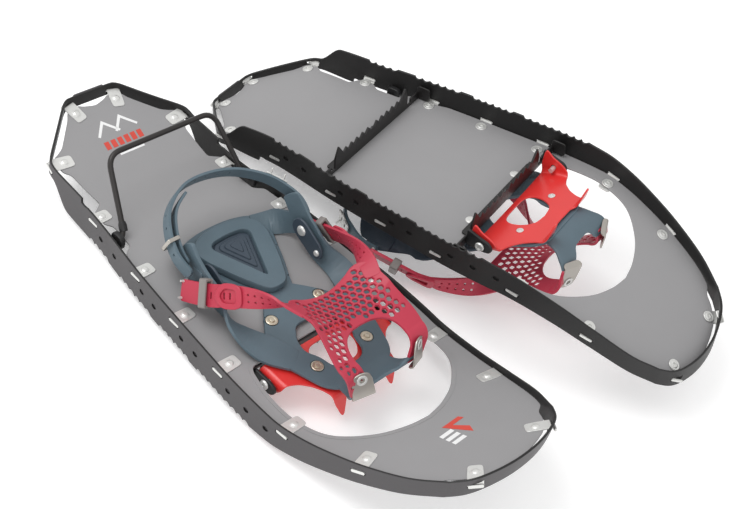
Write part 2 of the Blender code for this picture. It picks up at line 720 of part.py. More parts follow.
def build_mesh_strap(parent, finish):
    """Four-armed strap over the forefoot."""
    flat = bmesh.new()
    half = [(0, 0.0950), (0.0120, 0.0990), (0.0220, 0.1140), (0.0240, 0.1255), (0.0400, 0.1225)]
    half += [(0.0380, 0.1080), (0.0370, 0.0900), (0.0430, 0.0700), (0.0530, 0.0460), (0.0600, 0.0230)]
    half += [(0.0480, 0.0190), (0.0380, 0.0320), (0.0220, 0.0420), (0, 0.0450)]
    line = mirrored(half)
    verts = [flat.verts.new((x, y, 0)) for x, y in line]
    edges = [flat.edges.new((verts[i], verts[(i + 1) % len(verts)])) for i in range(len(verts))]
    bmesh.ops.triangle_fill(flat, edges=edges, use_beauty=True)
    for x in (-0.045, -0.03, 0.0, 0.03, 0.045):
        geometry = flat.verts[:] + flat.edges[:] + flat.faces[:]
        bmesh.ops.bisect_plane(flat, geom=geometry, dist=1e-5, plane_co=(x, 0, 0), plane_no=(1, 0, 0))
    for y in (0.03, 0.06, 0.074, 0.1):
        geometry = flat.verts[:] + flat.edges[:] + flat.faces[:]
        bmesh.ops.bisect_plane(flat, geom=geometry, dist=1e-5, plane_co=(0, y, 0), plane_no=(0, 1, 0))
    bmesh.ops.triangulate(flat, faces=flat.faces)
    bm = bmesh.new()
    sheet_solid(
        bm,
        flat,
        lambda p: Vector((p.x, p.y, strap_height(p.x, p.y))),
        lambda p: Vector((p.x * 0.985, p.y, strap_height(p.x, p.y) - STRAP_THICK)),
    )
    flat.free()
    return mesh_object("mesh_strap", bm, finish, parent)


def side_strap_route():
    """Middle line of the strap from the mesh down to the ear, right side."""
    return [mm(64.5, 7, 45), mm(67.0, -2, 38.5), mm(70.0, -12, 32), mm(73.5, -30, 21), mm(75.5, -50, 10)]


def build_side_strap(side, parent, finish):
    """Strap end between the mesh and the ear."""
    bm = bmesh.new()
    path = [Vector((side * p.x, p.y, p.z)) for p in side_strap_route()]
    band(bm, path, Vector((side * 0.05, 0.55, 0.83)), 0.0190, 0.0030)
    return mesh_object("side_strap", bm, finish, parent)


def build_strap_keeper(side, parent, finish):
    """Loop that holds the strap end down and slides along it."""
    bm = bmesh.new()
    route = side_strap_route()
    along = (route[3] - route[2]).normalized()
    centre = route[2].lerp(route[3], 0.62)
    way = Vector((side * along.x, along.y, along.z))
    middle = Vector((side * centre.x, centre.y, centre.z)) - way * 0.0040
    across = Vector((side * 0.05, 0.55, 0.83))
    across = (across - way * across.dot(way)).normalized()
    out = way.cross(across)
    outer = [(-0.0125, -0.0043), (0.0125, -0.0043), (0.0125, 0.0043), (-0.0125, 0.0043)]
    inner = [(-0.0106, -0.0028), (0.0106, -0.0028), (0.0106, 0.0028), (-0.0106, 0.0028)]
    place = Matrix((
        (across.x, out.x, way.x, middle.x),
        (across.y, out.y, way.y, middle.y),
        (across.z, out.z, way.z, middle.z),
        (0, 0, 0, 1),
    ))
    plate(bm, outer, 0.0080, place, [inner])
    return mesh_object("strap_keeper", bm, finish, parent)


def build_strap_buckle(side, parent, finish):
    """Oval anchor plate on the ear's inner face, with its big rivet and the prong that hooks the strap."""
    base = bmesh.new()
    outline = [(-0.0200, -0.0060), (-0.0130, -0.0100), (0.0130, -0.0100), (0.0210, -0.0050), (0.0220, 0.0030)]
    outline += [(0.0150, 0.0090), (-0.0130, 0.0100), (-0.0200, 0.0050)]
    place = Matrix.Translation((side * 0.0526, -0.0280, 0.0200)) @ Matrix.Rotation(math.radians(-22), 4, "X")
    plate(base, outline, 0.0022, place @ lengthwise(0, side))
    pieces = [base]
    big_rivet = (0.0531, -0.0360, 0.0230, 0.0050)
    small_rivet = (0.0531, -0.0130, 0.0140, 0.0032)
    for x, y, z, radius in (big_rivet, small_rivet):
        head = bmesh.new()
        turn = Matrix.Translation((side * x, y, z)) @ Matrix.Rotation(math.radians(-90 * side), 4, "Y")
        turned(head, [(radius, 0), (radius * 0.9, 0.0020), (radius * 0.5, 0.0030)], turn)
        pieces.append(head)
    return union("strap_buckle", pieces, finish, parent)


def heel_strap_route(half, depth):
    """Loop of the heel strap in its own leaning plane: across, and along the lean."""
    quarter = [Vector((half, -0.004, 0)), Vector((half + 0.002, 0.016, 0)), Vector((half - 0.004, 0.038, 0))]
    quarter += [Vector((half - 0.018, 0.060, 0)), Vector((0.026, depth - 0.004, 0)), Vector((0, depth, 0))]
    right = smooth_curve(quarter, 2)
    return right + [Vector((-p.x, p.y, 0)) for p in reversed(right[:-1])]


def lean_matrix():
    """Place of the heel strap's plane: local y runs up and back from the ears."""
    return Matrix.Rotation(math.radians(180 - STRAP_LEAN), 4, "X")


def build_heel_strap(settings, parent, finish):
    bm = bmesh.new()
    lean = lean_matrix()
    path = [lean @ p for p in heel_strap_route(settings["loop_half"], settings["loop_depth"])]
    band(bm, path, lean.to_3x3() @ Vector((0, 0, 1)), 0.0130, 0.0028)
    return mesh_object("heel_strap", bm, finish, parent)


def build_heel_buckle(settings, parent, finish):
    """Buckle on the left end of the heel strap: a base along the strap with two prongs across it."""
    lean = lean_matrix()
    base = bmesh.new()
    route = heel_strap_route(settings["loop_half"], settings["loop_depth"])
    chord = (route[16] - route[14]).normalized()
    outward_way = Vector((chord.y, -chord.x, 0))
    bulge = (route[15] - route[14]).dot(outward_way)
    points = [p + outward_way * (bulge + 0.0014 + 0.0008 + GAP) for p in (route[14], route[16])]
    band(base, [lean @ p for p in points], lean.to_3x3() @ Vector((0, 0, 1)), 0.0110, 0.0016)
    pieces = [base]
    for p in points:
        for end in (1, -1):
            prong = bmesh.new()
            foot = p.lerp(points[0] + points[1] - p, 0.25) + Vector((0, 0, end * 0.0030))
            tube(prong, [lean @ foot, lean @ (foot + Vector((-0.0030, 0.0020, end * 0.0050)))], 0.0012)
            pieces.append(prong)
    return union("heel_buckle", pieces, finish, parent)


def build_heel_keeper(settings, parent, finish):
    """Loop round the right side of the heel strap."""
    bm = bmesh.new()
    outer = [(-0.0034, -0.0084), (0.0034, -0.0084), (0.0034, 0.0084), (-0.0034, 0.0084)]
    inner = [(-0.0018, -0.0069), (0.0018, -0.0069), (0.0018, 0.0069), (-0.0018, 0.0069)]
    lean = lean_matrix()
    middle = Matrix.Translation((settings["loop_half"] + 0.0016, 0.0080, 0))
    upright_turn = Matrix.Rotation(math.radians(-90), 4, "X")
    plate(bm, outer, 0.0060, lean @ middle @ upright_turn, [inner])
    return mesh_object("heel_keeper", bm, finish, parent)


def build_bail(parent, finish):
    """Heel-lift bail: a bent wire loop whose ends turn out into the sockets. Drawn lying flat back."""
    bm = bmesh.new()
    end = frame_half_width(BAIL_Y - 0.014) - BLADE_THICK - GAP * 2
    half = [Vector((end, 0, 0)), Vector((end - 0.0072, 0, 0)), Vector((end - 0.0090, -0.0020, 0))]
    half += [Vector((0.0620, -(BAIL_REACH - 0.012), 0)), Vector((0.0595, -(BAIL_REACH - 0.004), 0))]
    half += [Vector((0.0520, -BAIL_REACH, 0)), Vector((0.0200, -BAIL_REACH, 0))]
    path = half + [Vector((-p.x, p.y, 0)) for p in reversed(half)]
    tube(bm, path, BAIL_WIRE, 8)
    return mesh_object("heel_bail", bm, finish, parent)


def pivot_empty(name, place, turn, parent):
    empty = bpy.data.objects.new(name, None)
    bpy.context.scene.collection.objects.link(empty)
    empty.location = place
    empty.rotation_euler = (math.radians(turn), 0, 0)
    empty.parent = parent
    return empty


def child_of(parent, built, offset):
    """Hangs a piece drawn in the shoe's frame on a pivot, whose place is the offset."""
    built.parent = parent
    built.location = -Vector(offset)


def pressed_point(point, flattens):
    """Where a point of the flexible rear goes when the shoe lies on it: outward, and the ears lower too."""
    x, y, z = point
    share = min(1.0, max(0.0, (0.060 - y) / 0.050))
    if not flattens:
        return Vector((x * (1 + PRESS_SPLAY * share), y, z))
    if z <= PRESS_FROM:
        return Vector(point)
    low = PRESS_FROM + PRESS_DEPTH * (1 - math.exp((PRESS_FROM - z) / PRESS_DEPTH))
    splay = 1 + PRESS_SPLAY * share * min(1.0, (z - PRESS_FROM) / 0.012)
    return Vector((x * splay, y, z + (low - z) * share))


def press(piece):
    """Lets the flexible rear of a binding splay, and its ears flatten. A buckle keeps its flat faces."""
    flattens = piece.name.startswith(("cradle", "strap_buckle", "heel_pad"))
    verts = piece.data.vertices
    if not piece.name.startswith("strap_buckle"):
        for vert in verts:
            vert.co = pressed_point(vert.co, flattens)
        return
    middle = sum((vert.co for vert in verts), Vector()) / len(verts)
    moved = pressed_point(middle, True)
    moved.x -= math.copysign(PRESS_BUCKLE, moved.x)
    step = 0.002
    columns = []
    for axis in Matrix.Identity(3):
        ahead = pressed_point(middle + axis * step, True)
        behind = pressed_point(middle - axis * step, True)
        columns.append((ahead - behind) / (2 * step))
    turn = Matrix(columns).transposed()
    for vert in verts:
        vert.co = moved + turn @ (vert.co - middle)


def build_shoe(settings, shoe, finishes):
    """All pieces of one shoe, under its empty."""
    pivot = Vector((0, PIVOT_Y, PIVOT_Z))
    strap_axis = Vector((0, STRAP_AXIS_Y, settings["strap_axis_z"]))
    side = settings["name"]
    binding = pivot_empty(f"{side}_binding_pivot", pivot, -settings["heel_lift"], shoe)
    bail = pivot_empty(f"{side}_bail_pivot", (0, BAIL_Y, BAIL_Z), -settings["bail"], shoe)
    heel = pivot_empty(f"{side}_heel_strap_pivot", strap_axis - pivot, settings["strap"] * -1, binding)
    fixed = [
        build_frame(shoe, finishes["blade"]),
        build_splice(shoe, finishes["blade"]),
        build_deck(shoe, finishes["deck"]),
        build_crossbar("front_crossbar", 0.0460, 0.0930, shoe, finishes["bar"]),
        build_crossbar("rear_crossbar", -0.1050, 0.0845, shoe, finishes["bar"]),
    ]
    moving = [
        build_crampon(shoe, finishes["red_plate"]),
        build_cradle(shoe, finishes["cradle"]),
        build_heel_pad(shoe, finishes["cradle"]),
        build_mesh_strap(shoe, finishes["red_strap"]),
    ]
    for word, sign in SIDES:
        ends = [
            build_pivot_bracket(sign, shoe, finishes["plastic"]),
            build_pivot_pin(sign, shoe, finishes["steel"]),
            build_bail_socket(sign, shoe, finishes["plastic"]),
        ]
        fastened = [
            build_cradle_rivet(sign, shoe, finishes["steel"]),
            build_toe_bracket(sign, shoe, finishes["bracket"]),
            build_side_strap(sign, shoe, finishes["red_strap"]),
            build_strap_keeper(sign, shoe, finishes["plastic"]),
            build_strap_buckle(sign, shoe, finishes["plastic"]),
        ]
        for piece in ends + fastened:
            piece.name = f"{piece.name.split('.')[0]}_{word}"
        fixed += ends
        moving += fastened
    swinging = [
        build_heel_strap(settings, heel, finishes["cradle"]),
        build_heel_buckle(settings, heel, finishes["steel"]),
        build_heel_keeper(settings, heel, finishes["steel"]),
    ]
    lifter = [build_bail(bail, finishes["wire"])]
    for piece in moving:
        if settings["pressed"] and not piece.name.startswith("crampon"):
            press(piece)
        child_of(binding, piece, pivot)
    for piece in fixed + moving + swinging + lifter:
        piece.name = f"{side}_{piece.name.split('.')[0]}"


def stand_on_origin(pair):
    """Moves the pair so that the origin is at the middle of its outer box, on the ground."""
    bpy.context.view_layer.update()
    corners = []
    for piece in bpy.context.scene.objects:
        if piece.type == "MESH":
            corners += [piece.matrix_world @ vert.co for vert in piece.data.vertices]
    low = [min(corner[k] for corner in corners) for k in range(3)]
    high = [max(corner[k] for corner in corners) for k in range(3)]
    pair.location = (-(low[0] + high[0]) / 2, -(low[1] + high[1]) / 2, -low[2])


def main():
    clear_scene()
    finishes = materials()
    pair = bpy.data.objects.new("pair", None)
    bpy.context.scene.collection.objects.link(pair)
    for settings, origin, turn in (
        (FACE_UP, (0, 0, 0), (0, 0, 0)),
        (FACE_DOWN, SECOND_ORIGIN, SECOND_TURN),
    ):
        shoe = bpy.data.objects.new(f"{settings['name']}_shoe", None)
        bpy.context.scene.collection.objects.link(shoe)
        shoe.parent = pair
        shoe.location = origin
        shoe.rotation_euler = [math.radians(a) for a in turn]
        build_shoe(settings, shoe, finishes)
    stand_on_origin(pair)


main()
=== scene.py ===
"""Looks for a pair of snowshoes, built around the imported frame. One stands face up, the other lies face down.

Every piece is drawn in its shoe's own frame, in metres:
x across, y towards the nose, z up from the deck line.
"""

import json
import math

import bmesh
import bpy
from mathutils import Euler, Matrix, Vector


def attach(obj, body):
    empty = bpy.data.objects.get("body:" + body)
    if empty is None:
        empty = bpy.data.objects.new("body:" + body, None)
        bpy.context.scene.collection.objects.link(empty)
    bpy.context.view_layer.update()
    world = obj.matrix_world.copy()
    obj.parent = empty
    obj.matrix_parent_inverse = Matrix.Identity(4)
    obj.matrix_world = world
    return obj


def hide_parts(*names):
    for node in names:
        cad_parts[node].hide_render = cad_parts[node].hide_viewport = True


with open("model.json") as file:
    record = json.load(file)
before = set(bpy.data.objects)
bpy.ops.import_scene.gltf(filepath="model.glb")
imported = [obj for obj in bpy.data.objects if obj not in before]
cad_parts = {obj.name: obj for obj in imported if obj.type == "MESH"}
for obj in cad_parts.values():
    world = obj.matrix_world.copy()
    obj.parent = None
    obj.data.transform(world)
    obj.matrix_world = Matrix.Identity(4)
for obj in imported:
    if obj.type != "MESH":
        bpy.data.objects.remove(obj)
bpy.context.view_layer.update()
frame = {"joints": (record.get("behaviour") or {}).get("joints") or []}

# The shoe's driving dimensions, in metres and degrees
BLADE_THICK = 0.0022
BLADE_TOP = 0.004
CREST_START = -0.221
CREST_END = -0.1815
DECK_TOP = -0.0016
DECK_THICK = 0.0014
GAP = 0.0004
SLOT_DROP = -0.0038
TAIL_RISE = 0.02
TAIL_BEND = -0.15
NOSE_RISE = 0.056
NOSE_BEND = 0.1
PIVOT = Vector((0, 0.062, -0.009))
BAIL = Vector((0, -0.13, 0.0022))
BAIL_REACH = 0.071
BAIL_WIRE = 0.0026
SOCKET_THICK = 0.005
BRACKET_X = 0.069
STRAP_LEAN = 22.0
TOOTH_GROUPS = ((-0.164, -0.131), (-0.112, -0.061), (-0.048, -0.003), (0.008, 0.079))
TOOTH_PITCH = 0.008
TOOTH_DEPTH = 0.003
SECOND_TURN = (171.16, -5.08, -168.99)
PRESS_FROM = 0.006
PRESS_DEPTH = 0.018
PRESS_SPLAY = 0.27
SPLAY_FROM_Y = 0.06
SPLAY_LENGTH = 0.05
SPLAY_HEIGHT = 0.012
# Rivet places of the deck clips on the right half: x, y
CLIPS = (
    (0.0231, -0.2682),
    (0.0646, -0.2287),
    (0.072, -0.1615),
    (0.08, -0.0893),
    (0.084, -0.0297),
    (0.087, 0.0327),
    (0.0855, 0.1112),
    (0.0742, 0.1783),
    (0.0373, 0.2503),
)
# From this clip on, counted from the tail, the deck runs close along the blade
CLOSE_CLIP = 4
HEEL_SKEW = 0.12
ARM_BEND = 0.114
SEATS = ((0.03, 0.079), (0.0285, 0.019))
SIDES = (("right", 1), ("left", -1))
TURNED_SIDES = 24
STRAP_STEP = 0.003
STRAP_AXIS_Y = -0.05


# ---- Finishes


def finish(name, colour, roughness, metallic=0.0, grain=0.0, scale=900.0, shift=0.06, coat=0.0):
    """Procedural finish: a little unevenness in tone and roughness, and a fine bump."""
    made = bpy.data.materials.new(name)
    made.use_nodes = True
    nodes, links = made.node_tree.nodes, made.node_tree.links
    shader = nodes["Principled BSDF"]
    shader.inputs["Metallic"].default_value = metallic
    shader.inputs["Coat Weight"].default_value = coat
    shader.inputs["Coat Roughness"].default_value = 0.2
    where = nodes.new("ShaderNodeTexCoord")
    broad = nodes.new("ShaderNodeTexNoise")
    broad.inputs["Scale"].default_value = 38.0
    broad.inputs["Detail"].default_value = 4.0
    links.new(where.outputs["Object"], broad.inputs["Vector"])
    tone = nodes.new("ShaderNodeMixRGB")
    tone.inputs["Color1"].default_value = (*[c * (1 - shift) for c in colour], 1)
    tone.inputs["Color2"].default_value = (*[min(1, c * (1 + shift)) for c in colour], 1)
    links.new(broad.outputs["Fac"], tone.inputs["Fac"])
    links.new(tone.outputs["Color"], shader.inputs["Base Color"])
    rough = nodes.new("ShaderNodeMapRange")
    rough.inputs["To Min"].default_value = roughness * 0.85
    rough.inputs["To Max"].default_value = min(1, roughness * 1.15)
    links.new(broad.outputs["Fac"], rough.inputs["Value"])
    links.new(rough.outputs["Result"], shader.inputs["Roughness"])
    if grain:
        fine = nodes.new("ShaderNodeTexNoise")
        fine.inputs["Scale"].default_value = scale
        links.new(where.outputs["Object"], fine.inputs["Vector"])
        bump = nodes.new("ShaderNodeBump")
        bump.inputs["Strength"].default_value = grain
        bump.inputs["Distance"].default_value = 0.0003
        links.new(fine.outputs["Fac"], bump.inputs["Height"])
        links.new(bump.outputs["Normal"], shader.inputs["Normal"])
    return made


def woven_finish(name, colour, roughness):
    """Coated fabric: fine crossing threads under a satin skin."""
    made = finish(name, colour, roughness, shift=0.03)
    nodes, links = made.node_tree.nodes, made.node_tree.links
    where = nodes.new("ShaderNodeTexCoord")
    threads = []
    for way in ("X", "Y"):
        wave = nodes.new("ShaderNodeTexWave")
        wave.bands_direction = way
        wave.inputs["Scale"].default_value = 260.0
        links.new(where.outputs["Object"], wave.inputs["Vector"])
        threads.append(wave)
    cross = nodes.new("ShaderNodeMath")
    cross.operation = "MULTIPLY"
    links.new(threads[0].outputs["Fac"], cross.inputs[0])
    links.new(threads[1].outputs["Fac"], cross.inputs[1])
    bump = nodes.new("ShaderNodeBump")
    bump.inputs["Strength"].default_value = 0.12
    bump.inputs["Distance"].default_value = 0.0002
    links.new(cross.outputs["Value"], bump.inputs["Height"])
    links.new(bump.outputs["Normal"], nodes["Principled BSDF"].inputs["Normal"])
    return made


LOOKS = {
    "blade": finish("anodised_blade", (0.072, 0.068, 0.071), 0.5, 0.25, 0.25),
    "bar": finish("black_bar", (0.011, 0.01, 0.01), 0.42, 0.0, 0.3),
    "deck": woven_finish("coated_deck", (0.285, 0.281, 0.286), 0.55),
    "steel": finish("bright_steel", (0.72, 0.72, 0.7), 0.36, 0.55, 0.15),
    "bracket": finish("warm_steel", (0.5, 0.47, 0.43), 0.36, 1.0, 0.2),
    "red_plate": finish("red_coated_plate", (0.7, 0.03, 0.028), 0.32, 0.0, 0.12, coat=0.3),
    "red_strap": finish("red_elastomer", (0.46, 0.028, 0.06), 0.45, 0.0, 0.25),
    "cradle": finish("blue_grey_elastomer", (0.092, 0.136, 0.165), 0.5, 0.0, 0.3, shift=0.16),
    "wire": finish("dark_wire", (0.03, 0.027, 0.026), 0.38, 0.3, 0.2),
    "plastic": finish("black_plastic", (0.012, 0.012, 0.013), 0.45, 0.0, 0.3),
}
# Darker copy of the anodised blade colour, painted as shade: every face of the face-down shoe's blade, and the
# inner faces and edges of the upright one.
SHADED_BLADE_LOOK = finish("painted_shade_blade", (0.007, 0.0065, 0.0065), 0.5, 0.0, 0.25)
KEEPER_LOOK = finish("grey_keeper", (0.22, 0.2, 0.19), 0.4, 0.0, 0.2)
# Dark blue-grey of the anchor plates and the heel emboss; on the face-down shoe it also stands as painted shade
# on the cradle's arms.
DARK_BLUE_GREY_AND_SHADE_LOOK = finish("dark_blue_grey_elastomer_and_painted_shade", (0.04, 0.058, 0.08), 0.5, 0.0, 0.3, shift=0.1)
BRASS_LOOK = finish("warm_rivet", (0.62, 0.55, 0.44), 0.35, 1.0, 0.2)
WHITE_MARK = finish("white_print", (0.8, 0.8, 0.8), 0.5)
RED_MARK = finish("red_print", (0.6, 0.06, 0.04), 0.5)


# ---- Shapes


def mm(*numbers):
    return Vector(numbers) / 1000


def mm_line(*points):
    return [mm(*point) for point in points]


def in_mm(*pairs):
    """(x, y) or (radius, height) pairs, given in millimetres."""
    return [(x / 1000, y / 1000) for x, y in pairs]


def raised(base, pairs):
    """The same pairs, with their second number counted from the base."""
    return [(x, base + y) for x, y in pairs]


def box(x1, y1, x2, y2):
    """Corners of a rectangle."""
    return [(x1, y1), (x2, y1), (x2, y2), (x1, y2)]


def moved(x, y, z):
    return Matrix.Translation((x, y, z))


def smooth_curve(points, steps):
    """Catmull-Rom curve through the points, with that many pieces for each span."""
    made = []
    ends = [points[0] * 2 - points[1], *points, points[-1] * 2 - points[-2]]
    for a, b, c, d in zip(ends, ends[1:], ends[2:], ends[3:]):
        for step in range(steps):
            t = step / steps
            bend = (2 * a - 5 * b + 4 * c - d) * t**2
            twist = (3 * b - a - 3 * c + d) * t**3
            made.append(0.5 * (2 * b + (c - a) * t + bend + twist))
    made.append(points[-1])
    return made


def rounded(points, radius, steps=4, closed=True):
    """The same line with every corner rounded off. Works in two or three dimensions."""
    points = [Vector(p) for p in points]
    made = []
    for i, corner in enumerate(points):
        if not closed and i in (0, len(points) - 1):
            made.append(corner)
            continue
        before = points[i - 1] - corner
        after = points[(i + 1) % len(points)] - corner
        if before.length < 1e-7 or after.length < 1e-7:
            continue
        start = corner + before.normalized() * min(radius, before.length * 0.48)
        end = corner + after.normalized() * min(radius, after.length * 0.48)
        for k in range(steps + 1):
            t = k / steps
            made.append(start * (1 - t) ** 2 + corner * 2 * t * (1 - t) + end * t**2)
    return made


def mirrored(half):
    """Closed outline from its right half, which runs from one point at x = 0 to another."""
    return [Vector(p) for p in half] + [Vector((-p[0], p[1])) for p in reversed(half) if abs(p[0]) > 1e-6]


def ellipse(x, y, across, along, sides=16):
    turn = [2 * math.pi * (k + 0.5) / sides for k in range(sides)]
    return [Vector((x + across * math.cos(a), y + along * math.sin(a))) for a in turn]


def loft(bm, rings, closed=False):
    """Solid through the rings of points. It ends in flat faces, or joins its last ring to its first."""
    made = [[bm.verts.new(point) for point in ring] for ring in rings]
    for ring, following in zip(made, made[1:] + made[:1] if closed else made[1:]):
        for i, vert in enumerate(ring):
            j = (i + 1) % len(ring)
            bm.faces.new((vert, ring[j], following[j], following[i]))
    if not closed:
        bm.faces.new(made[0][::-1])
        bm.faces.new(made[-1])


def tube(bm, path, radius, sides=14):
    """Round bar along the path, with flat ends. The radius is one number, or one for each point."""
    rings = []
    side = (path[1] - path[0]).orthogonal().normalized()
    for i, point in enumerate(path):
        along = (path[min(i + 1, len(path) - 1)] - path[max(i - 1, 0)]).normalized()
        side = (side - along * side.dot(along)).normalized()
        up = along.cross(side)
        size = radius[i] if isinstance(radius, list) else radius
        turn = [2 * math.pi * k / sides for k in range(sides)]
        rings.append([point + (side * math.cos(a) + up * math.sin(a)) * size for a in turn])
    loft(bm, rings)


def turned(bm, profile, place):
    """Solid turned about the local z axis of place, from (radius, height) pairs."""
    turn = [2 * math.pi * k / TURNED_SIDES for k in range(TURNED_SIDES)]
    loft(bm, [[place @ Vector((r * math.cos(a), r * math.sin(a), h)) for a in turn] for r, h in profile])


def formed(bm, outline, thick, surface, holes=(), cuts=((), ()), rim=0.0003):
    """Sheet with a chamfered rim, from a flat outline. It returns the flat area.

    surface(x, y, t) places a point of the outline at height t in the thickness. cuts are the x and y lines
    where the sheet bends.
    """
    flat = bmesh.new()
    edges = []
    for line in (outline, *holes):
        verts = [flat.verts.new((p[0], p[1], 0)) for p in line]
        edges += [flat.edges.new((verts[i], verts[(i + 1) % len(verts)])) for i in range(len(verts))]
    bmesh.ops.triangle_fill(flat, edges=edges, use_beauty=True)
    for axis in (0, 1):
        for at in cuts[axis]:
            normal = (1, 0, 0) if axis == 0 else (0, 1, 0)
            geometry = flat.verts[:] + flat.edges[:] + flat.faces[:]
            point = Vector(normal) * at
            bmesh.ops.bisect_plane(flat, geom=geometry, dist=1e-6, plane_co=point, plane_no=normal)
    flat.normal_update()
    for face in flat.faces:
        if face.normal.z < 0:
            face.normal_flip()
    outward = {}
    rims = [edge for edge in flat.edges if len(edge.link_faces) == 1]
    for edge in rims:
        loop = edge.link_loops[0]
        a, b = loop.vert.co, loop.link_loop_next.vert.co
        way = Vector((b.y - a.y, a.x - b.x, 0)).normalized()
        for vert in edge.verts:
            outward.setdefault(vert, []).append(way)
    levels = [(0.0, 0.0), (rim, rim), (rim, thick - rim), (0.0, thick)]
    placed = [{}, {}, {}, {}]
    for vert in flat.verts:
        x, y, _ = vert.co
        placed[0][vert] = bm.verts.new(surface(x, y, 0.0))
        placed[3][vert] = bm.verts.new(surface(x, y, thick))
        if vert in outward:
            way = sum(outward[vert], Vector((0, 0, 0)))
            way = way.normalized() if way.length > 1e-6 else Vector((0, 0, 0))
            for level in (1, 2):
                out, height = levels[level]
                placed[level][vert] = bm.verts.new(surface(x + way.x * out, y + way.y * out, height))
    for face in flat.faces:
        bm.faces.new([placed[3][vert] for vert in face.verts])
        bm.faces.new([placed[0][vert] for vert in reversed(face.verts)])
    for edge in rims:
        a, b = edge.verts
        for low, high in ((0, 1), (1, 2), (2, 3)):
            bm.faces.new((placed[low][a], placed[low][b], placed[high][b], placed[high][a]))
    area = sum(face.calc_area() for face in flat.faces)
    flat.free()
    return area


def plate(bm, outline, thick, place, holes=(), rim=0.0003):
    """Flat plate in the local x-y plane of place."""
    formed(bm, outline, thick, lambda x, y, t: place @ Vector((x, y, t)), holes, rim=rim)


def spaced(start, end, step):
    count = max(1, round((end - start) / step))
    return [start + (end - start) * k / count for k in range(count + 1)]


class Route:
    """Smooth line through points, with a width direction, read by the distance along it."""

    def __init__(self, points, across, steps=8):
        self.points = smooth_curve(points, steps)
        if not isinstance(across, list):
            across = [across] * len(points)
        self.across = smooth_curve([a.normalized() for a in across], steps)
        self.lengths = [0.0]
        for a, b in zip(self.points, self.points[1:]):
            self.lengths.append(self.lengths[-1] + (b - a).length)
        self.length = self.lengths[-1]

    def at(self, distance):
        """(point, across, outward) there. It runs on straight past either end."""
        last = len(self.points) - 2
        i = 0
        while i < last and self.lengths[i + 1] < distance:
            i += 1
        share = (distance - self.lengths[i]) / (self.lengths[i + 1] - self.lengths[i])
        point = self.points[i] + (self.points[i + 1] - self.points[i]) * share
        inside = min(1.0, max(0.0, share))
        ways = []
        for k in (i, i + 1):
            before, after = self.points[max(k - 1, 0)], self.points[min(k + 1, last + 1)]
            ways.append((after - before).normalized())
        along = ways[0].lerp(ways[1], inside).normalized()
        side = self.across[i].lerp(self.across[i + 1], inside)
        side = (side - along * side.dot(along)).normalized()
        return point, side, along.cross(side)

    def surface(self, lift=0.0):
        def place(u, v, t):
            point, side, out = self.at(u)
            return point + side * v + out * (t + lift)

        return place


def strip(bm, route, widths, thick, holes=(), ends=0.003, span=None):
    """Strap along a route. widths are spread evenly along it. Its ends have rounded corners."""
    start, end = span or (0.0, route.length)
    count = len(widths) - 1
    dense = smooth_curve([Vector((w, 0)) for w in widths], 5) if count else []
    half = [d.x / 2 for d in dense] or [widths[0] / 2] * 2
    stations = [start + (end - start) * k / (len(half) - 1) for k in range(len(half))]
    outline = [Vector((u, w)) for u, w in zip(stations, half)]
    outline = outline + [Vector((p.x, -p.y)) for p in reversed(outline)]
    corners = []
    for i, point in enumerate(outline):
        if i in (0, len(half) - 1, len(half), len(outline) - 1):
            before, after = outline[i - 1] - point, outline[(i + 1) % len(outline)] - point
            a = point + before.normalized() * min(ends, before.length * 0.49)
            b = point + after.normalized() * min(ends, after.length * 0.49)
            for t in (0, 0.25, 0.5, 0.75, 1):
                corners.append(a * (1 - t) ** 2 + point * 2 * t * (1 - t) + b * t**2)
        else:
            corners.append(point)
    lines = spaced(start, end, STRAP_STEP)[1:-1]
    formed(bm, corners, thick, route.surface(-thick / 2), holes, cuts=(lines, (0.0,)))


def fold(s, radius, angle, t=0.0):
    """(ahead, drop) of a point that lies s past the start of a sheet's downward bend, t above its face."""
    if s <= 0:
        return s, -t
    angle = math.radians(angle)
    now = min(s / radius, angle)
    rest = max(0.0, s - radius * angle)
    ahead = radius * math.sin(now) + rest * math.cos(now) + t * math.sin(now)
    return ahead, radius * (1 - math.cos(now)) + rest * math.sin(now) - t * math.cos(now)


def upright(y, thick):
    """Turns an outline drawn in x and y into one in x and z, centred on that y."""
    return Matrix(((1, 0, 0, 0), (0, 0, -1, y + thick / 2), (0, 1, 0, 0), (0, 0, 0, 1)))


def lengthwise(x, side):
    """Turns an outline drawn in y and z (as x and y of the plate) into an upright plate at that x."""
    return Matrix(((0, 0, side, x), (1, 0, 0, 0), (0, 1, 0, 0), (0, 0, 0, 1)))


def facing(point, way):
    """Place at the point, with its z axis along the way."""
    return Matrix.Translation(point) @ way.to_track_quat("Z", "Y").to_matrix().to_4x4()


# ---- The two shoes


def joint_place(name):
    return Vector(next(j for j in frame["joints"] if j["name"] == name)["pos_m"])


def turn_x(degrees):
    return Matrix.Rotation(math.radians(degrees), 4, "X")


def make_shoe(name, turn, heel_lift, bail, strap, pressed, half, depth, axis_z):
    """Where a shoe stands, and how its moving bodies rest. half and depth are its heel strap's reach."""
    turned_by = Euler([math.radians(a) for a in turn]).to_matrix()
    origin = joint_place(f"{name}_binding_pivot") - turned_by @ PIVOT
    root = Matrix.Translation(origin) @ turned_by.to_4x4()
    binding = root @ Matrix.Translation(PIVOT) @ turn_x(-heel_lift) @ Matrix.Translation(-PIVOT)
    loop = binding @ moved(0, STRAP_AXIS_Y, axis_z) @ turn_x(-strap)
    places = {"root": root, "binding": binding, "keeper_left": binding, "keeper_right": binding}
    places["heel_loop"] = loop
    places["bail"] = root @ Matrix.Translation(BAIL) @ turn_x(-bail)
    return {"name": name, "places": places, "pressed": pressed, "half": half, "depth": depth}


SHOES = (
    make_shoe("left", (0, 0, 0), heel_lift=0.0, bail=48.0, strap=0.0, pressed=False,
              half=0.069, depth=0.07, axis_z=0.026),
    make_shoe("right", SECOND_TURN, heel_lift=14.0, bail=5.0, strap=-47.0, pressed=True,
              half=0.086, depth=0.072, axis_z=0.018),
)


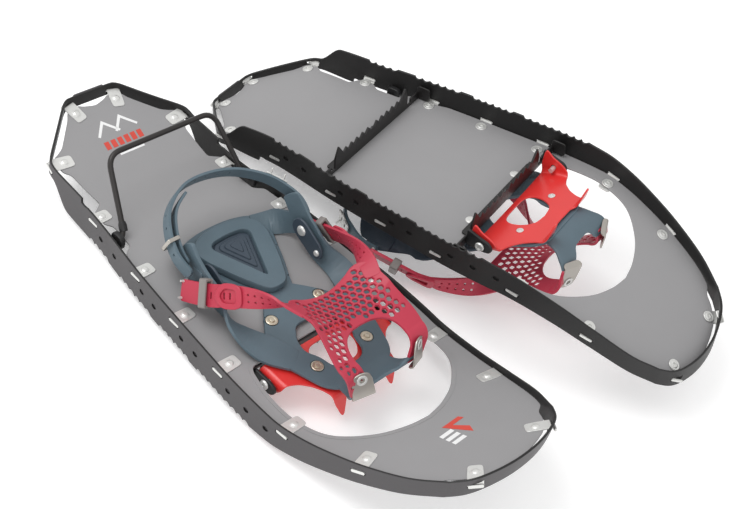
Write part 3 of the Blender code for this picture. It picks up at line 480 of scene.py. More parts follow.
def pressed_point(point, flattens):
    """Where a point of the flexible rear goes when the shoe lies on it: outward, and the ears lower too."""
    x, y, z = point
    share = min(1.0, max(0.0, (SPLAY_FROM_Y - y) / SPLAY_LENGTH))
    if not flattens:
        return Vector((x * (1 + PRESS_SPLAY * share), y, z))
    if z <= PRESS_FROM:
        return Vector(point)
    low = PRESS_FROM + PRESS_DEPTH * (1 - math.exp((PRESS_FROM - z) / PRESS_DEPTH))
    splay = 1 + PRESS_SPLAY * share * min(1.0, (z - PRESS_FROM) / SPLAY_HEIGHT)
    return Vector((x * splay, y, z + (low - z) * share))


def press_map(side):
    """How a stiff anchor plate moves with the pressed ear: flat faces stay flat."""
    middle = Vector((side * 0.0535, -0.0277, 0.0197))
    moved = pressed_point(middle, True) - Vector((side * 0.0016, 0, 0))
    probe = 0.002
    columns = []
    for axis in Matrix.Identity(3):
        ahead = pressed_point(middle + axis * probe, True)
        columns.append((ahead - pressed_point(middle - axis * probe, True)) / (2 * probe))
    turn = Matrix(columns).transposed().to_4x4()
    return Matrix.Translation(moved) @ turn @ Matrix.Translation(-middle)


def add(bm, shoe, name, group, slot, stands_for=(), look=None, pressing="splay", side=1, smooth=45):
    """Turns a mesh drawn in the shoe's frame into a shown piece on its body."""
    if shoe["pressed"] and group in ("binding", "keeper_left", "keeper_right"):
        if pressing == "stiff":
            bm.transform(press_map(side))
        elif pressing:
            for vert in bm.verts:
                vert.co = pressed_point(vert.co, pressing == "flat")
    bm.transform(shoe["places"][group])
    bmesh.ops.recalc_face_normals(bm, faces=bm.faces)
    full = f"{shoe['name']}_{name}"
    mesh = bpy.data.meshes.new(full)
    bm.to_mesh(mesh)
    bm.free()
    mesh.shade_smooth()
    mesh.set_sharp_from_angle(angle=math.radians(smooth))
    mesh.materials.append(look or LOOKS[slot])
    made = bpy.data.objects.new(full, mesh)
    bpy.context.scene.collection.objects.link(made)
    made.modifiers.new("even_shading", "WEIGHTED_NORMAL").keep_sharp = True
    if stands_for:
        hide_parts(*[f"{shoe['name']}_{node}" for node in stands_for])
    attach(made, "root" if group == "root" else f"{shoe['name']}_{group}")
    return made


# ---- Blade


SIDE_LINE = (
    (80.5, -226), (81, -195), (81.5, -165), (84.5, -135), (90, -95), (94.5, -50), (98.5, 5),
    (101.2, 50), (101, 95), (97.5, 130), (92.5, 160), (87, 188), (77.5, 222), (64, 247),
)
TAIL_LINE = (
    (0, -282), (22, -282), (28, -281), (33, -278), (38, -273.5), (50, -261.85), (62, -250.2),
    (72, -240.5), (77, -235), (79.5, -231), (80.5, -226),
)
NOSE_LINE = ((64, 247), (56, 255), (49, 259.5), (40, 263), (26, 266.5), (12, 268.5), (0, 269))
SIDE_CURVE = smooth_curve(mm_line(*SIDE_LINE), 12)


def rise(y):
    """Height of the deck line: the tail and the nose curve up, the middle is flat."""
    if y < TAIL_BEND:
        return TAIL_RISE * ((TAIL_BEND - y) / 0.118) ** 2
    if y > NOSE_BEND:
        return NOSE_RISE * ((y - NOSE_BEND) / 0.15) ** 1.5
    return 0.0


def half_width(y):
    """Distance of the blade's outer face from the middle line."""
    for a, b in zip(SIDE_CURVE, SIDE_CURVE[1:]):
        if a.y <= y <= b.y + 1e-6:
            return a.x + (b.x - a.x) * (y - a.y) / (b.y - a.y)
    return SIDE_CURVE[-1].x


def side_stations():
    """Places along the side: close together over the teeth and the crest, wider elsewhere."""
    made = spaced(-0.226, CREST_START, 0.0025) + spaced(CREST_START, CREST_END, 0.003)[1:]
    made += [CREST_END + 0.0007, CREST_END + 0.003, CREST_END + 0.006, CREST_END + 0.009]
    last = made[-1]
    for start, end in TOOTH_GROUPS:
        made += spaced(last, start, 0.004)[1:]
        made += spaced(start, end, TOOTH_PITCH / 5)[1:]
        last = end
    made += spaced(last, 0.247, 0.004)[1:]
    return made


def blade_top(y):
    """Top edge above the deck line. Behind the third clip it climbs to a crest that ends in a notch."""
    if CREST_START <= y <= CREST_END:
        climb = math.pi / 2 * (y - CREST_START) / (CREST_END - CREST_START)
        return BLADE_TOP + 0.0042 * math.sin(climb) ** 1.3
    if CREST_END < y < CREST_END + 0.008:
        return BLADE_TOP - 0.0012 * math.sin(math.pi * (y - CREST_END) / 0.008)
    return BLADE_TOP


def blade_bottom(y):
    """Bottom edge below the deck line: shallow at the tail and nose, with groups of teeth between."""
    if y < -0.225:
        return -0.009
    if y < -0.19:
        share = min(1, (y + 0.225) / 0.026)
        return -0.009 - 0.0175 * share * share * (3 - 2 * share)
    if y > TOOTH_GROUPS[-1][1]:
        return -0.0262 + 0.011 * min(1, (y - TOOTH_GROUPS[-1][1]) / 0.15) ** 0.8
    for start, end in TOOTH_GROUPS:
        if start < y < end:
            count = round((end - start) / TOOTH_PITCH)
            share = (y - start) / (end - start) * count % 1.0
            share = share ** 0.7
            return -0.0265 + TOOTH_DEPTH * (1 - (2 * share - 1) ** 2)
    return -0.0265


def blade_outline():
    tail = smooth_curve(mm_line(*TAIL_LINE), 3)
    side = [Vector((half_width(y), y)) for y in side_stations()]
    nose = smooth_curve(mm_line(*NOSE_LINE), 4)
    return mirrored([tuple(p) for p in tail[:-1] + side[:-1] + nose])


def clip_frames():
    """(number, side word, place) of each deck clip. Its local x runs outward through the blade."""
    made = []
    ways = {0: (0.25, -1), 1: (1, -0.12), len(CLIPS) - 1: (0.8, 0.6), len(CLIPS) - 2: (1, 0.24)}
    for number, (x, y) in enumerate(CLIPS):
        for word, side in SIDES:
            way = ways.get(number, (1, 0))
            out = Vector((side * way[0], way[1], 0)).normalized()
            slope = (rise(y + 0.004) - rise(y - 0.004)) / 0.008
            ahead = Vector((0, 1, slope)).normalized()
            out3 = Vector((out.x, out.y, out.y * slope)).normalized()
            up = Vector((0, -ahead.z, ahead.y))
            along = up.cross(out3).normalized()
            turn = Matrix((out3, along, out3.cross(along))).transposed().to_4x4()
            made.append((number + 1, word, Matrix.Translation((side * x, y, rise(y))) @ turn))
    return made


def reach_to_blade(place):
    """Distance from a clip's rivet, along its local x, to the blade's outer face."""
    start = place.translation.to_2d()
    way = place.col[0].to_2d()
    best = 1.0
    for a, b in zip(OUTLINE, OUTLINE[1:] + OUTLINE[:1]):
        line = b - a
        cross = way.x * line.y - way.y * line.x
        if abs(cross) < 1e-12:
            continue
        gap = a - start
        t = (gap.x * line.y - gap.y * line.x) / cross
        s = (gap.x * way.y - gap.y * way.x) / cross
        if t > 0 and -1e-9 <= s <= 1 + 1e-9:
            best = min(best, t)
    return best


OUTLINE = blade_outline()
CLIP_PLACES = [(number, word, place, reach_to_blade(place)) for number, word, place in clip_frames()]


def stadium(width, height):
    return rounded(box(-width, -height, width, height), height, 5)


def through_slot(bm, section, place, start, end):
    """Bar of that section along a clip's local x, at the height of its slot."""
    loft(bm, [[place @ Vector((x, p.x, SLOT_DROP + p.y)) for p in section] for x in (start, end)])


def blade_cutters(bm):
    """Slots at the clips, and oval dimples between them."""
    for _, _, place, reach in CLIP_PLACES:
        through_slot(bm, stadium(0.007, 0.0019), place, reach - 0.0095, reach + 0.004)
    for (_, start), (_, end) in zip(CLIPS[2:6], CLIPS[3:7]):
        for share in (0.2, 0.52) if end - start < 0.075 else (0.2, 0.5, 0.8):
            y = start + (end - start) * share
            for side in (1, -1):
                ring = ellipse(y, -0.0115, 0.0032, 0.0024)
                x = half_width(y)
                loft(bm, [[Vector((side * (x + out), p.x, p.y)) for p in ring] for out in (-0.0016, 0.004)])


def build_blade(shoe):
    bm = bmesh.new()
    edge = 0.0006
    rings = []
    for i, point in enumerate(OUTLINE):
        along = OUTLINE[(i + 1) % len(OUTLINE)] - OUTLINE[i - 1]
        out = Vector((along.y, -along.x)).normalized()
        high = rise(point.y) + blade_top(point.y)
        low = rise(point.y) + blade_bottom(point.y)
        section = [(0, low + edge), (0, high - edge), (edge * 0.3, high - edge * 0.3), (edge, high)]
        section += [(BLADE_THICK - edge, high), (BLADE_THICK, high - edge), (BLADE_THICK, low + edge)]
        section += [(BLADE_THICK - edge, low), (edge, low), (edge * 0.3, low + edge * 0.3)]
        rings.append([Vector((*(point - out * inset), z)) for inset, z in section])
    loft(bm, rings, closed=True)
    bmesh.ops.recalc_face_normals(bm, faces=bm.faces)
    tools = bmesh.new()
    blade_cutters(tools)
    bmesh.ops.recalc_face_normals(tools, faces=tools.faces)
    bm = cut(bm, tools)
    blade = add(bm, shoe, "blade", "root", "blade", ["frame"], smooth=38)
    blade.data.materials.append(SHADED_BLADE_LOOK)
    # Faces that point outward keep the anodised grey; the other faces, and all faces of the face-down shoe, get
    # the painted shade colour.
    back = shoe["places"]["root"].inverted()
    for face in blade.data.polygons:
        normal = back.to_3x3() @ face.normal
        at = back @ face.center
        faces_out = normal.x * at.x + normal.y * at.y * 0.35 > 0 and abs(normal.z) < 0.6
        if not faces_out or shoe["pressed"]:
            face.material_index = 1


def cut(bm, tools):
    """The mesh less the tools."""
    pair = []
    for source in (bm, tools):
        mesh = bpy.data.meshes.new("cutting")
        source.to_mesh(mesh)
        source.free()
        pair.append(bpy.data.objects.new("cutting", mesh))
        bpy.context.scene.collection.objects.link(pair[-1])
    base, tool = pair
    modifier = base.modifiers.new("cut", "BOOLEAN")
    modifier.operation = "DIFFERENCE"
    modifier.solver = "EXACT"
    modifier.object = tool
    bpy.context.view_layer.update()
    result = bpy.data.meshes.new_from_object(base.evaluated_get(bpy.context.evaluated_depsgraph_get()))
    made = bmesh.new()
    made.from_mesh(result)
    for obj in pair:
        bpy.data.objects.remove(obj)
    return made


def build_splice(shoe):
    """Plate that joins the ends of the blade, with its two rivets."""
    bm = bmesh.new()
    y = -0.282 - GAP
    z = rise(y) - 0.0022
    outline = rounded(box(-0.017, z - 0.0052, 0.017, z + 0.0052), 0.002)
    plate(bm, outline, 0.0018, upright(y - 0.0009, 0.0018))
    for x in (-0.011, 0.011):
        head = facing(Vector((x, y - 0.0017, z)), Vector((0, -1, 0)))
        turned(bm, in_mm((2.4, 0), (2.2, 0.5), (1, 0.9)), head)
    add(bm, shoe, "splice_plate", "root", "blade", ["tail_splice"])


# ---- Deck


def deck_edge():
    """Right half of the deck's outline, from the tail to the nose, set in between the rear clips."""

    def beside(y, inset):
        return (half_width(y) - BLADE_THICK - inset, y)

    half = in_mm(
        (0, -270), (12.5, -273), (16.5, -275.5), (30, -273.5), (34.5, -266.5), (57, -243), (64, -239),
        (71.5, -236), (72, -221), (66.5, -215),
    )
    half += [(0.0635, -0.176), (0.07, -0.1715), beside(-0.169, 0.005), beside(-0.153, 0.005)]
    half += [(0.07, -0.147), (0.0725, -0.12), beside(-0.113, 0.0032), beside(-0.0975, 0.0032)]
    half.append(beside(-0.0805, 0.0032))
    half += [beside(y, 0.001) for y in spaced(CLIPS[CLOSE_CLIP - 1][1] + 0.017, CLIPS[-2][1] + 0.0085, 0.016)]
    half += [beside(0.2, 0.0012), beside(0.215, 0.0014), beside(0.227, 0.0016), beside(0.236, 0.002)]
    half += in_mm((57, 240), (51, 248), (43, 254.5), (35, 259), (22.5, 262.2), (11, 264.2), (0, 265))
    return half


def toe_opening():
    """Right half of the D-shaped toe opening."""
    bow = mm_line((77, 52), (82, 77), (81.5, 107), (73, 139), (48, 162.5), (22, 174), (0, 178))
    rear = in_mm((0, 45), (70, 45), (74.5, 47))
    return rear + [(max(p.x, 0.0), p.y) for p in smooth_curve(bow, 6)]


def on_deck(lift):
    """Surface that follows the deck's upper face, the lift above it."""
    return lambda x, y, t: Vector((x, y, rise(y) + DECK_TOP + lift + t))


def build_deck(shoe):
    bm = bmesh.new()
    lines = spaced(-0.272, TAIL_BEND, 0.006) + spaced(-0.13, 0.09, 0.02) + spaced(NOSE_BEND, 0.262, 0.005)
    outline = rounded(mirrored(deck_edge()), 0.003, 3)
    opening = rounded(mirrored(toe_opening()), 0.004, 3)
    area = formed(bm, outline, DECK_THICK, on_deck(-DECK_THICK), [opening], cuts=((), lines))
    deck = add(bm, shoe, "deck_sheet", "root", "deck", ["deck"])
    build_hem(shoe)


def build_hem(shoe):
    """Narrow welded edge round the toe opening, on the deck's upper face."""
    bm = bmesh.new()
    inner = rounded(mirrored(toe_opening()), 0.004, 3)
    outer = [p + (p - Vector((0, 0.108))).normalized() * 0.0035 for p in inner]
    lines = spaced(0.05, 0.09, 0.01) + spaced(NOSE_BEND, 0.18, 0.005)
    formed(bm, outer, 0.0004, on_deck(-0.0001), [inner], cuts=((), lines), rim=0.0001)
    add(bm, shoe, "opening_hem", "root", "deck")


def build_clips(shoe):
    """Steel tabs that hold the deck, each with a domed rivet above and a ringed washer below."""
    seat = DECK_TOP + 0.0001
    foot = DECK_TOP + 0.0008
    low = DECK_TOP - DECK_THICK
    for number, word, place, reach in CLIP_PLACES:
        bm = bmesh.new()
        inner = -0.0085 if reach > 0.013 else -0.0078
        outline = [(inner, -0.0058), (0.005, -0.0064), (reach - 0.0004, -0.0062)]
        outline += [(reach - 0.0004, 0.0062), (0.005, 0.0064), (inner, 0.0058)]
        outline = rounded(outline, 0.003, 4)
        outline = [p if p.x < 0.004 else Vector((min(p.x, reach - 0.0004), p.y)) for p in outline]

        def bent(x, y, t):
            share = min(1.0, max(0.0, (x - reach + 0.0036) / 0.0018))
            drop = (seat - SLOT_DROP + 0.0004) * share * share * (3 - 2 * share)
            return place @ Vector((x, y, seat - drop + t))

        folds = spaced(reach - 0.0036, reach - 0.0018, 0.0003)
        formed(bm, outline, 0.0009, bent, cuts=(folds, ()), rim=0.0002)
        through_slot(bm, stadium(0.0061, 0.0014), place, reach - 0.0012, reach + 0.0002)
        add(bm, shoe, f"clip_{number}_{word}", "root", "steel", smooth=40)
        bm = bmesh.new()
        dome = in_mm((4.6, 0), (4.6, 0.3), (4.2, 0.5), (3.7, 0.3), (3.4, 0.4), (2.9, 1), (1.4, 1.4))
        turned(bm, [(0.002, low)] + raised(foot, dome), place)
        washer = in_mm(
            (1.6, -0.2), (1.9, -1.1), (2.4, -1.1), (3, -1), (3.4, -0.6), (4.2, -0.6), (5, -1),
            (5.6, -0.7), (5.7, -0.1), (3, 0.3),
        )
        turned(bm, raised(low, washer), place)
        add(bm, shoe, f"rivet_{number}_{word}", "root", "steel", smooth=60)


def build_deck_studs(shoe):
    """Small rivets that hold the front bar's flange to the deck."""
    for word, side in SIDES:
        bm = bmesh.new()
        place = moved(side * 0.041, 0.034, 0)
        low = DECK_TOP - DECK_THICK
        turned(bm, raised(low, in_mm((2.2, -1.2), (3.4, -0.9), (4.7, -0.4), (4.7, 0.2))), place)
        turned(bm, raised(DECK_TOP, in_mm((4.4, 0), (4, 0.5), (2, 1))), place)
        add(bm, shoe, f"deck_stud_{word}", "root", "steel", smooth=60)


def mark(shoe, name, shapes, look):
    """Thin printed shapes on the deck."""
    bm = bmesh.new()
    for shape in shapes:
        ys = [p[1] for p in shape]
        lines = spaced(min(ys), max(ys), 0.005)[1:-1]
        formed(bm, shape, 0.0002, on_deck(0.0), cuts=((), lines), rim=0.00005)
    add(bm, shoe, name, "root", "deck", look=look)


def build_marks(shoe):
    """Plain printed bars, zigzag and wedge on the tail and the nose."""

    def bar(x, y, long, wide, lean=0.0):
        low, high = y - wide, y + wide
        return [(x - long, low), (x + long, low), (x + long + lean, high), (x - long + lean, high)]

    red = [bar(-0.022 + k * 0.0075, -0.228, 0.0026, 0.0042, 0.0012) for k in range(6)]
    white = [bar(-0.003, -0.219, 0.02, 0.001), bar(-0.003, -0.215, 0.014, 0.001)]
    peak = ((0, 0), (-11, 12), (-13, 10.5), (0, -4), (13, 10.5), (11, 12))
    for sign in (1, -1):
        tip = Vector((-0.004 + sign * 0.01, -0.25))
        white.append([tip + Vector(p) * 0.001 for p in peak][::sign])
    mark(shoe, "tail_bars_red", red, RED_MARK)
    mark(shoe, "tail_bars_white", white, WHITE_MARK)
    chevron = in_mm((-14, 196), (6, 196), (-6, 217), (-10, 210.5), (-2, 200), (-16, 200))
    mark(shoe, "nose_wedge", [chevron[::-1]], RED_MARK)
    mark(shoe, "nose_bars", [bar(0.01, 0.204 + k * 0.006, 0.007, 0.0018) for k in range(3)], WHITE_MARK)


# ---- Crossbars, pivots and bail blocks


def build_crossbar(shoe, name, y, half_length, node):
    """Toothed bar under the deck: upright blade, flange against the deck, and a foot at each end."""
    thick = 0.002
    top = DECK_TOP - DECK_THICK - GAP - 0.0002
    half = [(0, top), (half_length, top), (half_length, -0.012), (0.069, -0.012), (0.069, -0.0062)]
    half += in_mm((62.2, -6.2), (62.2, -18), (57, -30.3), (48.5, -18))
    for k in range(5, 0, -1):
        x = k * 0.0092 - 0.002
        half += [(x, -0.0225), (x - 0.0042, -0.0165)]
    half.append((0, -0.019))
    bm = bmesh.new()
    plate(bm, rounded(mirrored(half), 0.0011, 2), thick, upright(y, thick), rim=0.0004)
    flange = rounded(box(-0.062, y - 0.0095, 0.062, y), 0.003)
    plate(bm, flange, 0.0014, moved(0, 0, top - 0.0014))
    for side in (1, -1):
        x = side * (half_length - 0.001)
        foot = rounded(box(y - 0.0005, -0.0188, y + 0.0138, -0.0048), 0.003)
        plate(bm, foot, 0.0017, lengthwise(x - side * 0.0008, side))
    add(bm, shoe, name, "root", "bar", [node])


def build_pivots(shoe):
    """Cheek plate, pin with a recessed head, and bail block on each side."""
    for word, side in SIDES:
        bm = bmesh.new()
        outline = in_mm(
            (47.6, -4), (64, -3.6), (71.5, -5), (74, -10), (70, -15), (60, -17.5), (47.6, -21.5),
        )
        hole = ellipse(PIVOT.y, PIVOT.z, 0.0028, 0.0028, 20)
        cheek = lengthwise(side * (BRACKET_X + 0.0001), side)
        plate(bm, rounded(outline, 0.0025), 0.0028, cheek, [hole], rim=0.0005)
        add(bm, shoe, f"cheek_{word}", "root", "plastic", [f"pivot_bracket_{word}"])
        bm = bmesh.new()
        head = BRACKET_X + 0.003 + GAP
        place = moved(0, PIVOT.y, PIVOT.z) @ Matrix.Rotation(math.radians(90 * side), 4, "Y")
        rest = in_mm((2.4, 0), (4.6, 0), (4.5, 0.9), (3.9, 1.7), (2.4, 1.8), (2, 0.7), (0.6, 0.6))
        turned(bm, [(0.0024, 0.06)] + raised(head, rest), place)
        add(bm, shoe, f"pin_{word}", "root", "steel", [f"pivot_pin_{word}"])
        bm = bmesh.new()
        y = BAIL.y
        outline = [(y - 0.0075, 0.001), (y - 0.005, 0.0066), (y + 0.005, 0.0066), (y + 0.0075, 0.001)]
        outline += [(y + 0.006, -0.007), (y - 0.006, -0.007)]
        hole = ellipse(y, BAIL.z, 0.003, 0.003, 20)
        outer = half_width(y - 0.014) - BLADE_THICK - GAP
        block = lengthwise(side * (outer - SOCKET_THICK), side)
        plate(bm, rounded(outline, 0.0035), SOCKET_THICK, block, [hole], rim=0.0006)
        add(bm, shoe, f"bail_block_{word}", "root", "plastic", [f"bail_socket_{word}"])


def build_bail(shoe):
    """Heel-lift wire, drawn lying flat back, with a moulded collar at each end."""
    bm = bmesh.new()
    end = half_width(BAIL.y - 0.014) - BLADE_THICK - GAP * 2
    half = [Vector((end, 0, 0)), Vector((end - 0.0086, 0, 0)), Vector((0.06, -BAIL_REACH, 0))]
    path = half + [Vector((-p.x, p.y, 0)) for p in reversed(half)]
    path = rounded(path, 0.0135, 8, closed=False)
    tube(bm, path, BAIL_WIRE)
    add(bm, shoe, "bail_wire", "bail", "wire", ["heel_bail"])
    for word, side in SIDES:
        bm = bmesh.new()
        start = Vector((side * (end - 0.0095), -0.0035, 0))
        way = Vector((side * (0.06 - end + 0.0086), -BAIL_REACH, 0)).normalized()
        points = [start + way * d for d in (0.0, 0.0006, 0.006, 0.009)]
        tube(bm, points, [0.0032, 0.0038, 0.0038, 0.0029])
        add(bm, shoe, f"bail_collar_{word}", "bail", "plastic")


# ---- Binding


def build_crampon(shoe):
    """Formed red plate: windowed body, side horns on the pivots, spikes bent down at the front."""
    thick = 0.0018
    bend_x, bend_y = 0.0613, 0.104
    radius = 0.0041

    def surface(x, y, t):
        side = 1 if x >= 0 else -1
        ahead, drop = fold(abs(x) - bend_x, radius, 90, t)
        z = -0.0032 - drop
        if abs(x) <= bend_x:
            past, down = fold(y - bend_y, 0.006, 62, t)
            return Vector((x, bend_y + past, -0.0032 - down))
        return Vector((side * (bend_x + ahead), y, z))

    half = in_mm(
        (0, 104), (19, 104.5), (22.5, 108), (24, 115), (29, 127.5), (31.2, 127.5), (36, 115), (37.5, 106),
        (40, 98), (45, 89.5), (53, 81.5), (61, 77.8), (68, 76.2), (73, 72.8), (76.8, 68), (80, 63),
        (87.8, 57), (86.2, 55), (82, 53.2), (76, 51), (69, 49.2), (64, 50), (50, 50.8), (30, 51.2),
        (0, 51.2),
    )
    window = smooth_curve(mm_line((0, 55.5), (16, 56.5), (23, 63), (22, 75), (14, 85.5), (0, 88.5)), 4)
    window = mirrored([(max(0.0, p.x), p.y) for p in window])
    holes = [window]
    holes += [ellipse(side * (bend_x + 0.0085), PIVOT.y, 0.0031, 0.0031, 16) for side in (1, -1)]
    holes += [ellipse(side * 0.03, 0.079, 0.0022, 0.0022, 12) for side in (1, -1)]
    lines = [side * x for side in (1, -1) for x in spaced(bend_x, bend_x + 0.0066, 0.0011)]
    rows = spaced(bend_y, bend_y + 0.0066, 0.0011)
    bm = bmesh.new()
    formed(bm, rounded(mirrored(half), 0.003, 3), thick, surface, holes, cuts=(lines, rows), rim=0.0004)
    add(bm, shoe, "crampon_plate", "binding", "red_plate", ["crampon"], pressing=None)
    bm = bmesh.new()
    for side in (1, -1):
        place = facing(Vector((side * 0.03, 0.079, -0.003)), Vector((0, 0, -1)))
        turned(bm, [(0.002, -0.002), (0.0034, 0.0001), (0.0034, 0.0008), (0.0027, 0.0011), (0.0017, 0.001),
                    (0.0014, 0.0002), (0.0004, 0.0001)], place)
    add(bm, shoe, "crampon_rivets", "binding", "steel", pressing=None)


def build_cradle(shoe):
    """Flexible base of the binding: toe plate with two raised arms, heel plate, side arms and stays."""
    thick = 0.0032
    bm = bmesh.new()
    half = in_mm((0, 108), (30, 108), (40, 98), (52, 64), (56, 44), (42, 26), (26, 6), (12, -8), (0, -12))
    seats = [(side * x, y) for x, y in SEATS for side in (1, -1)]
    holes = [ellipse(x, y, 0.0066, 0.0066, 24) for x, y in seats]
    window = in_mm((0, 34), (15, 34), (26, 48), (28.5, 62), (21.5, 72), (19, 86), (11, 93), (0, 94))
    holes.append(rounded(mirrored(window), 0.006, 5))
    plate(bm, rounded(mirrored(half), 0.008, 5), thick, moved(0, 0, 0.0005), holes, rim=0.0006)
    for x, y in seats:
        plate(bm, ellipse(x, y, 0.0069, 0.0069, 24), 0.0022, moved(0, 0, 0.0007))
    half = in_mm((0, 6), (12, 4), (30, -30), (46, -64), (49, -78), (42, -90), (20, -96), (0, -97))
    heel = notched(rounded(mirrored(half), 0.01, 5))
    plate(bm, heel, thick, moved(0, 0, 0.0004), rim=0.0006)
    points = mm_line((0, 98, 2.1), (0, 105, 2.4), (0, 114, 5.2), (0, 121, 10), (0, 126.5, 17), (0, 128, 25))
    lip = Route(points, Vector((1, 0, 0)))
    long = lip.length
    outline = [(0, 0.03), (0.008, 0.03), (0.02, 0.033), (0.03, 0.04), (long, 0.042), (long, 0.02)]
    outline += [(long - 0.009, 0.016), (long - 0.013, 0.011)]
    outline = outline + [(p[0], -p[1]) for p in reversed(outline)]
    formed(bm, rounded(outline, 0.006, 5), thick * 0.9, lip.surface(-thick / 2),
           cuts=(spaced(0.003, long - 0.003, 0.003), ()), rim=0.0006)
    add(bm, shoe, "cradle_base", "binding", "cradle", ["cradle"], pressing="flat")
    bm = bmesh.new()
    for side in (1, -1):
        route = [mm(side * 41, 64, 2.2), mm(side * 56, 37, 4.0), mm(side * 62.5, 10, 7.2)]
        route += [mm(side * 59.6, -16, 12), mm(side * 60.5, -38, 22), mm(side * 61, -52, 32)]
        route.append(mm(side * 60, -64, 43))
        flat = Vector((side, 0.4, 0.0))
        steep = Vector((side * 0.1, 0.35, 0.95))
        across = [flat, flat, Vector((side * 0.8, 0.4, 0.5)), Vector((side * 0.15, 0.3, 0.9))]
        across += [steep, steep, Vector((side * 0.15, 0.7, 0.7))]
        strip(bm, Route(route, across), [0.022, 0.028, 0.025, 0.021, 0.026, 0.022, 0.018], thick, ends=0.009)
        route = [mm(side * 36, -78, 2.2), mm(side * 49, -73, 4.6), mm(side * 57, -63, 10)]
        route += [mm(side * 60.5, -50, 17), mm(side * 62.4, -36, 21)]
        level = Vector((0.2 * side, -1, 0.05))
        across = [level, level, Vector((0, -0.8, 0.7)), Vector((0, -0.5, 0.9)), Vector((0, -0.2, 1))]
        strip(bm, Route(route, across), [0.024, 0.024, 0.022, 0.02, 0.018], thick * 0.9, ends=0.005)
    # On the face-down shoe the arms take the darker blue-grey as painted shade; they are the same lighter
    # elastomer as on the upright shoe.
    look = DARK_BLUE_GREY_AND_SHADE_LOOK if shoe["pressed"] else LOOKS["cradle"]
    add(bm, shoe, "cradle_arms", "binding", "cradle", look=look, pressing="flat")


def notched(outline, pitch=0.0125, depth=0.0014):
    """Cuts small notches into the rear sides of the outline, spread evenly along it."""
    made = []
    walked = 0.0
    for a, b in zip(outline, outline[1:] + outline[:1]):
        made.append(a)
        length = (b - a).length
        way = (b - a).normalized() if length > 1e-7 else Vector((1, 0))
        inward = Vector((-way.y, way.x))
        if inward.dot(Vector((0, -0.05)) - a) < 0:
            inward = -inward
        while walked < length:
            at = a + way * walked
            if walked > 0.0012 and walked + 0.003 < length and at.y < -0.01:
                made += [at, at + way * 0.0003 + inward * depth]
                made += [at + way * 0.0019 + inward * depth, at + way * 0.0022]
            walked += pitch
        walked -= length
    return made


def build_heel_pad(shoe):
    """Heel tread with a stepped triangular emboss."""
    half = in_mm((0, -4), (10.5, -6), (25, -33), (37, -62), (37.5, -72), (33, -82), (18, -89), (0, -90))
    low = 0.0004 + 0.0032 + GAP
    bm = bmesh.new()
    triangle = in_mm((0, -17), (23.5, -70), (18, -76), (0, -77.5))
    hole = rounded(mirrored(triangle), 0.006, 5)
    plate(bm, rounded(mirrored(half), 0.009, 5), 0.007, moved(0, 0, low), [hole], rim=0.0009)
    add(bm, shoe, "heel_tread", "binding", "cradle", ["heel_pad"], pressing="flat")
    bm = bmesh.new()
    plate(bm, rounded(mirrored(triangle), 0.004, 5), 0.0022, moved(0, 0, low + 0.0002))
    for scale, top in ((0.84, 0.0034), (0.64, 0.0045), (0.44, 0.0056), (0.22, 0.0064)):
        inner = [(p[0] * scale, -0.062 + (p[1] + 0.062) * scale) for p in triangle]
        plate(bm, rounded(mirrored(inner), 0.003, 4), top, moved(0, 0, low + 0.0002), rim=0.0009)
    add(bm, shoe, "heel_emboss", "binding", "cradle", look=DARK_BLUE_GREY_AND_SHADE_LOOK, pressing="flat")


def build_seat_rivets(shoe):
    """Warm metal rivets that hold the toe plate on the crampon, and the two behind them."""
    profile = in_mm((5.6, -0.8), (5.6, 0.4), (4.8, 0.9), (3.4, 0.8), (2.8, 0.5), (2.4, 1.4), (1.2, 1.8))
    for word, side in SIDES:
        for name, (x, y), nodes in (("seat", SEATS[0], [f"cradle_rivet_{word}"]), ("rear", SEATS[1], ())):
            bm = bmesh.new()
            turned(bm, profile, moved(side * x, y, 0.0035))
            add(bm, shoe, f"{name}_rivet_{word}", "binding", "steel", nodes, look=BRASS_LOOK)


def tab_frame(side):
    """(foot, across, up, back) of a toe tab. Back points at the heel."""
    foot = Vector((side * 0.0325, 0.135, 0.019))
    up = Vector((side * 0.12, -0.36, 0.92)).normalized()
    across = Vector((1, side * -0.42, 0)).normalized()
    across = (across - up * across.dot(up)).normalized()
    return foot, across, up, across.cross(up)


def build_toe_brackets(shoe):
    """Folded steel tab under each front arm of the mesh strap, with its rivet."""
    for word, side in SIDES:
        foot, across, up, back = tab_frame(side)

        def surface(v, h, t):
            ahead, drop = fold(0.0035 - h, 0.003, 75, -t)
            return foot + across * v + up * (0.0035 - ahead) + back * drop

        half = in_mm((0, 26.5), (6.2, 25.5), (9, 20.5), (10, 6), (10.2, -4), (0, -4))
        hole = in_mm((0, 22.2), (-1.8, 19), (1.8, 19))
        bm = bmesh.new()
        formed(bm, rounded(mirrored(half), 0.0045, 5), 0.0014, surface, [rounded(hole, 0.0005, 2)],
               cuts=((), spaced(-0.001, 0.0035, 0.0009)), rim=0.0003)
        ring = Matrix.Translation(surface(0, 0.0201, 0)) @ Matrix((across, up, back)).transposed().to_4x4()
        add(bm, shoe, f"toe_tab_{word}", "binding", "bracket", [f"toe_bracket_{word}"])
        bm = bmesh.new()
        loop = ellipse(0, 0, 0.0046, 0.0046, 24)
        plate(bm, loop, 0.0008, ring @ moved(0, 0, -0.0008), [ellipse(0, 0, 0.0028, 0.0028, 16)])
        add(bm, shoe, f"toe_ring_{word}", "binding", "steel")


def strap_height(x, y):
    """Height of the mesh strap: low over the middle, higher at its arms, falling to the ears."""
    middle = 0.049 - 0.006 * min(1, abs(y - 0.074) / 0.045)
    spread = 0.012 * (min(abs(x), 0.055) / 0.042) ** 2
    fall = 0.9 * max(0.0, 0.03 - y)
    return middle + spread * min(1, max(0.0, (0.12 - y) / 0.05)) - fall


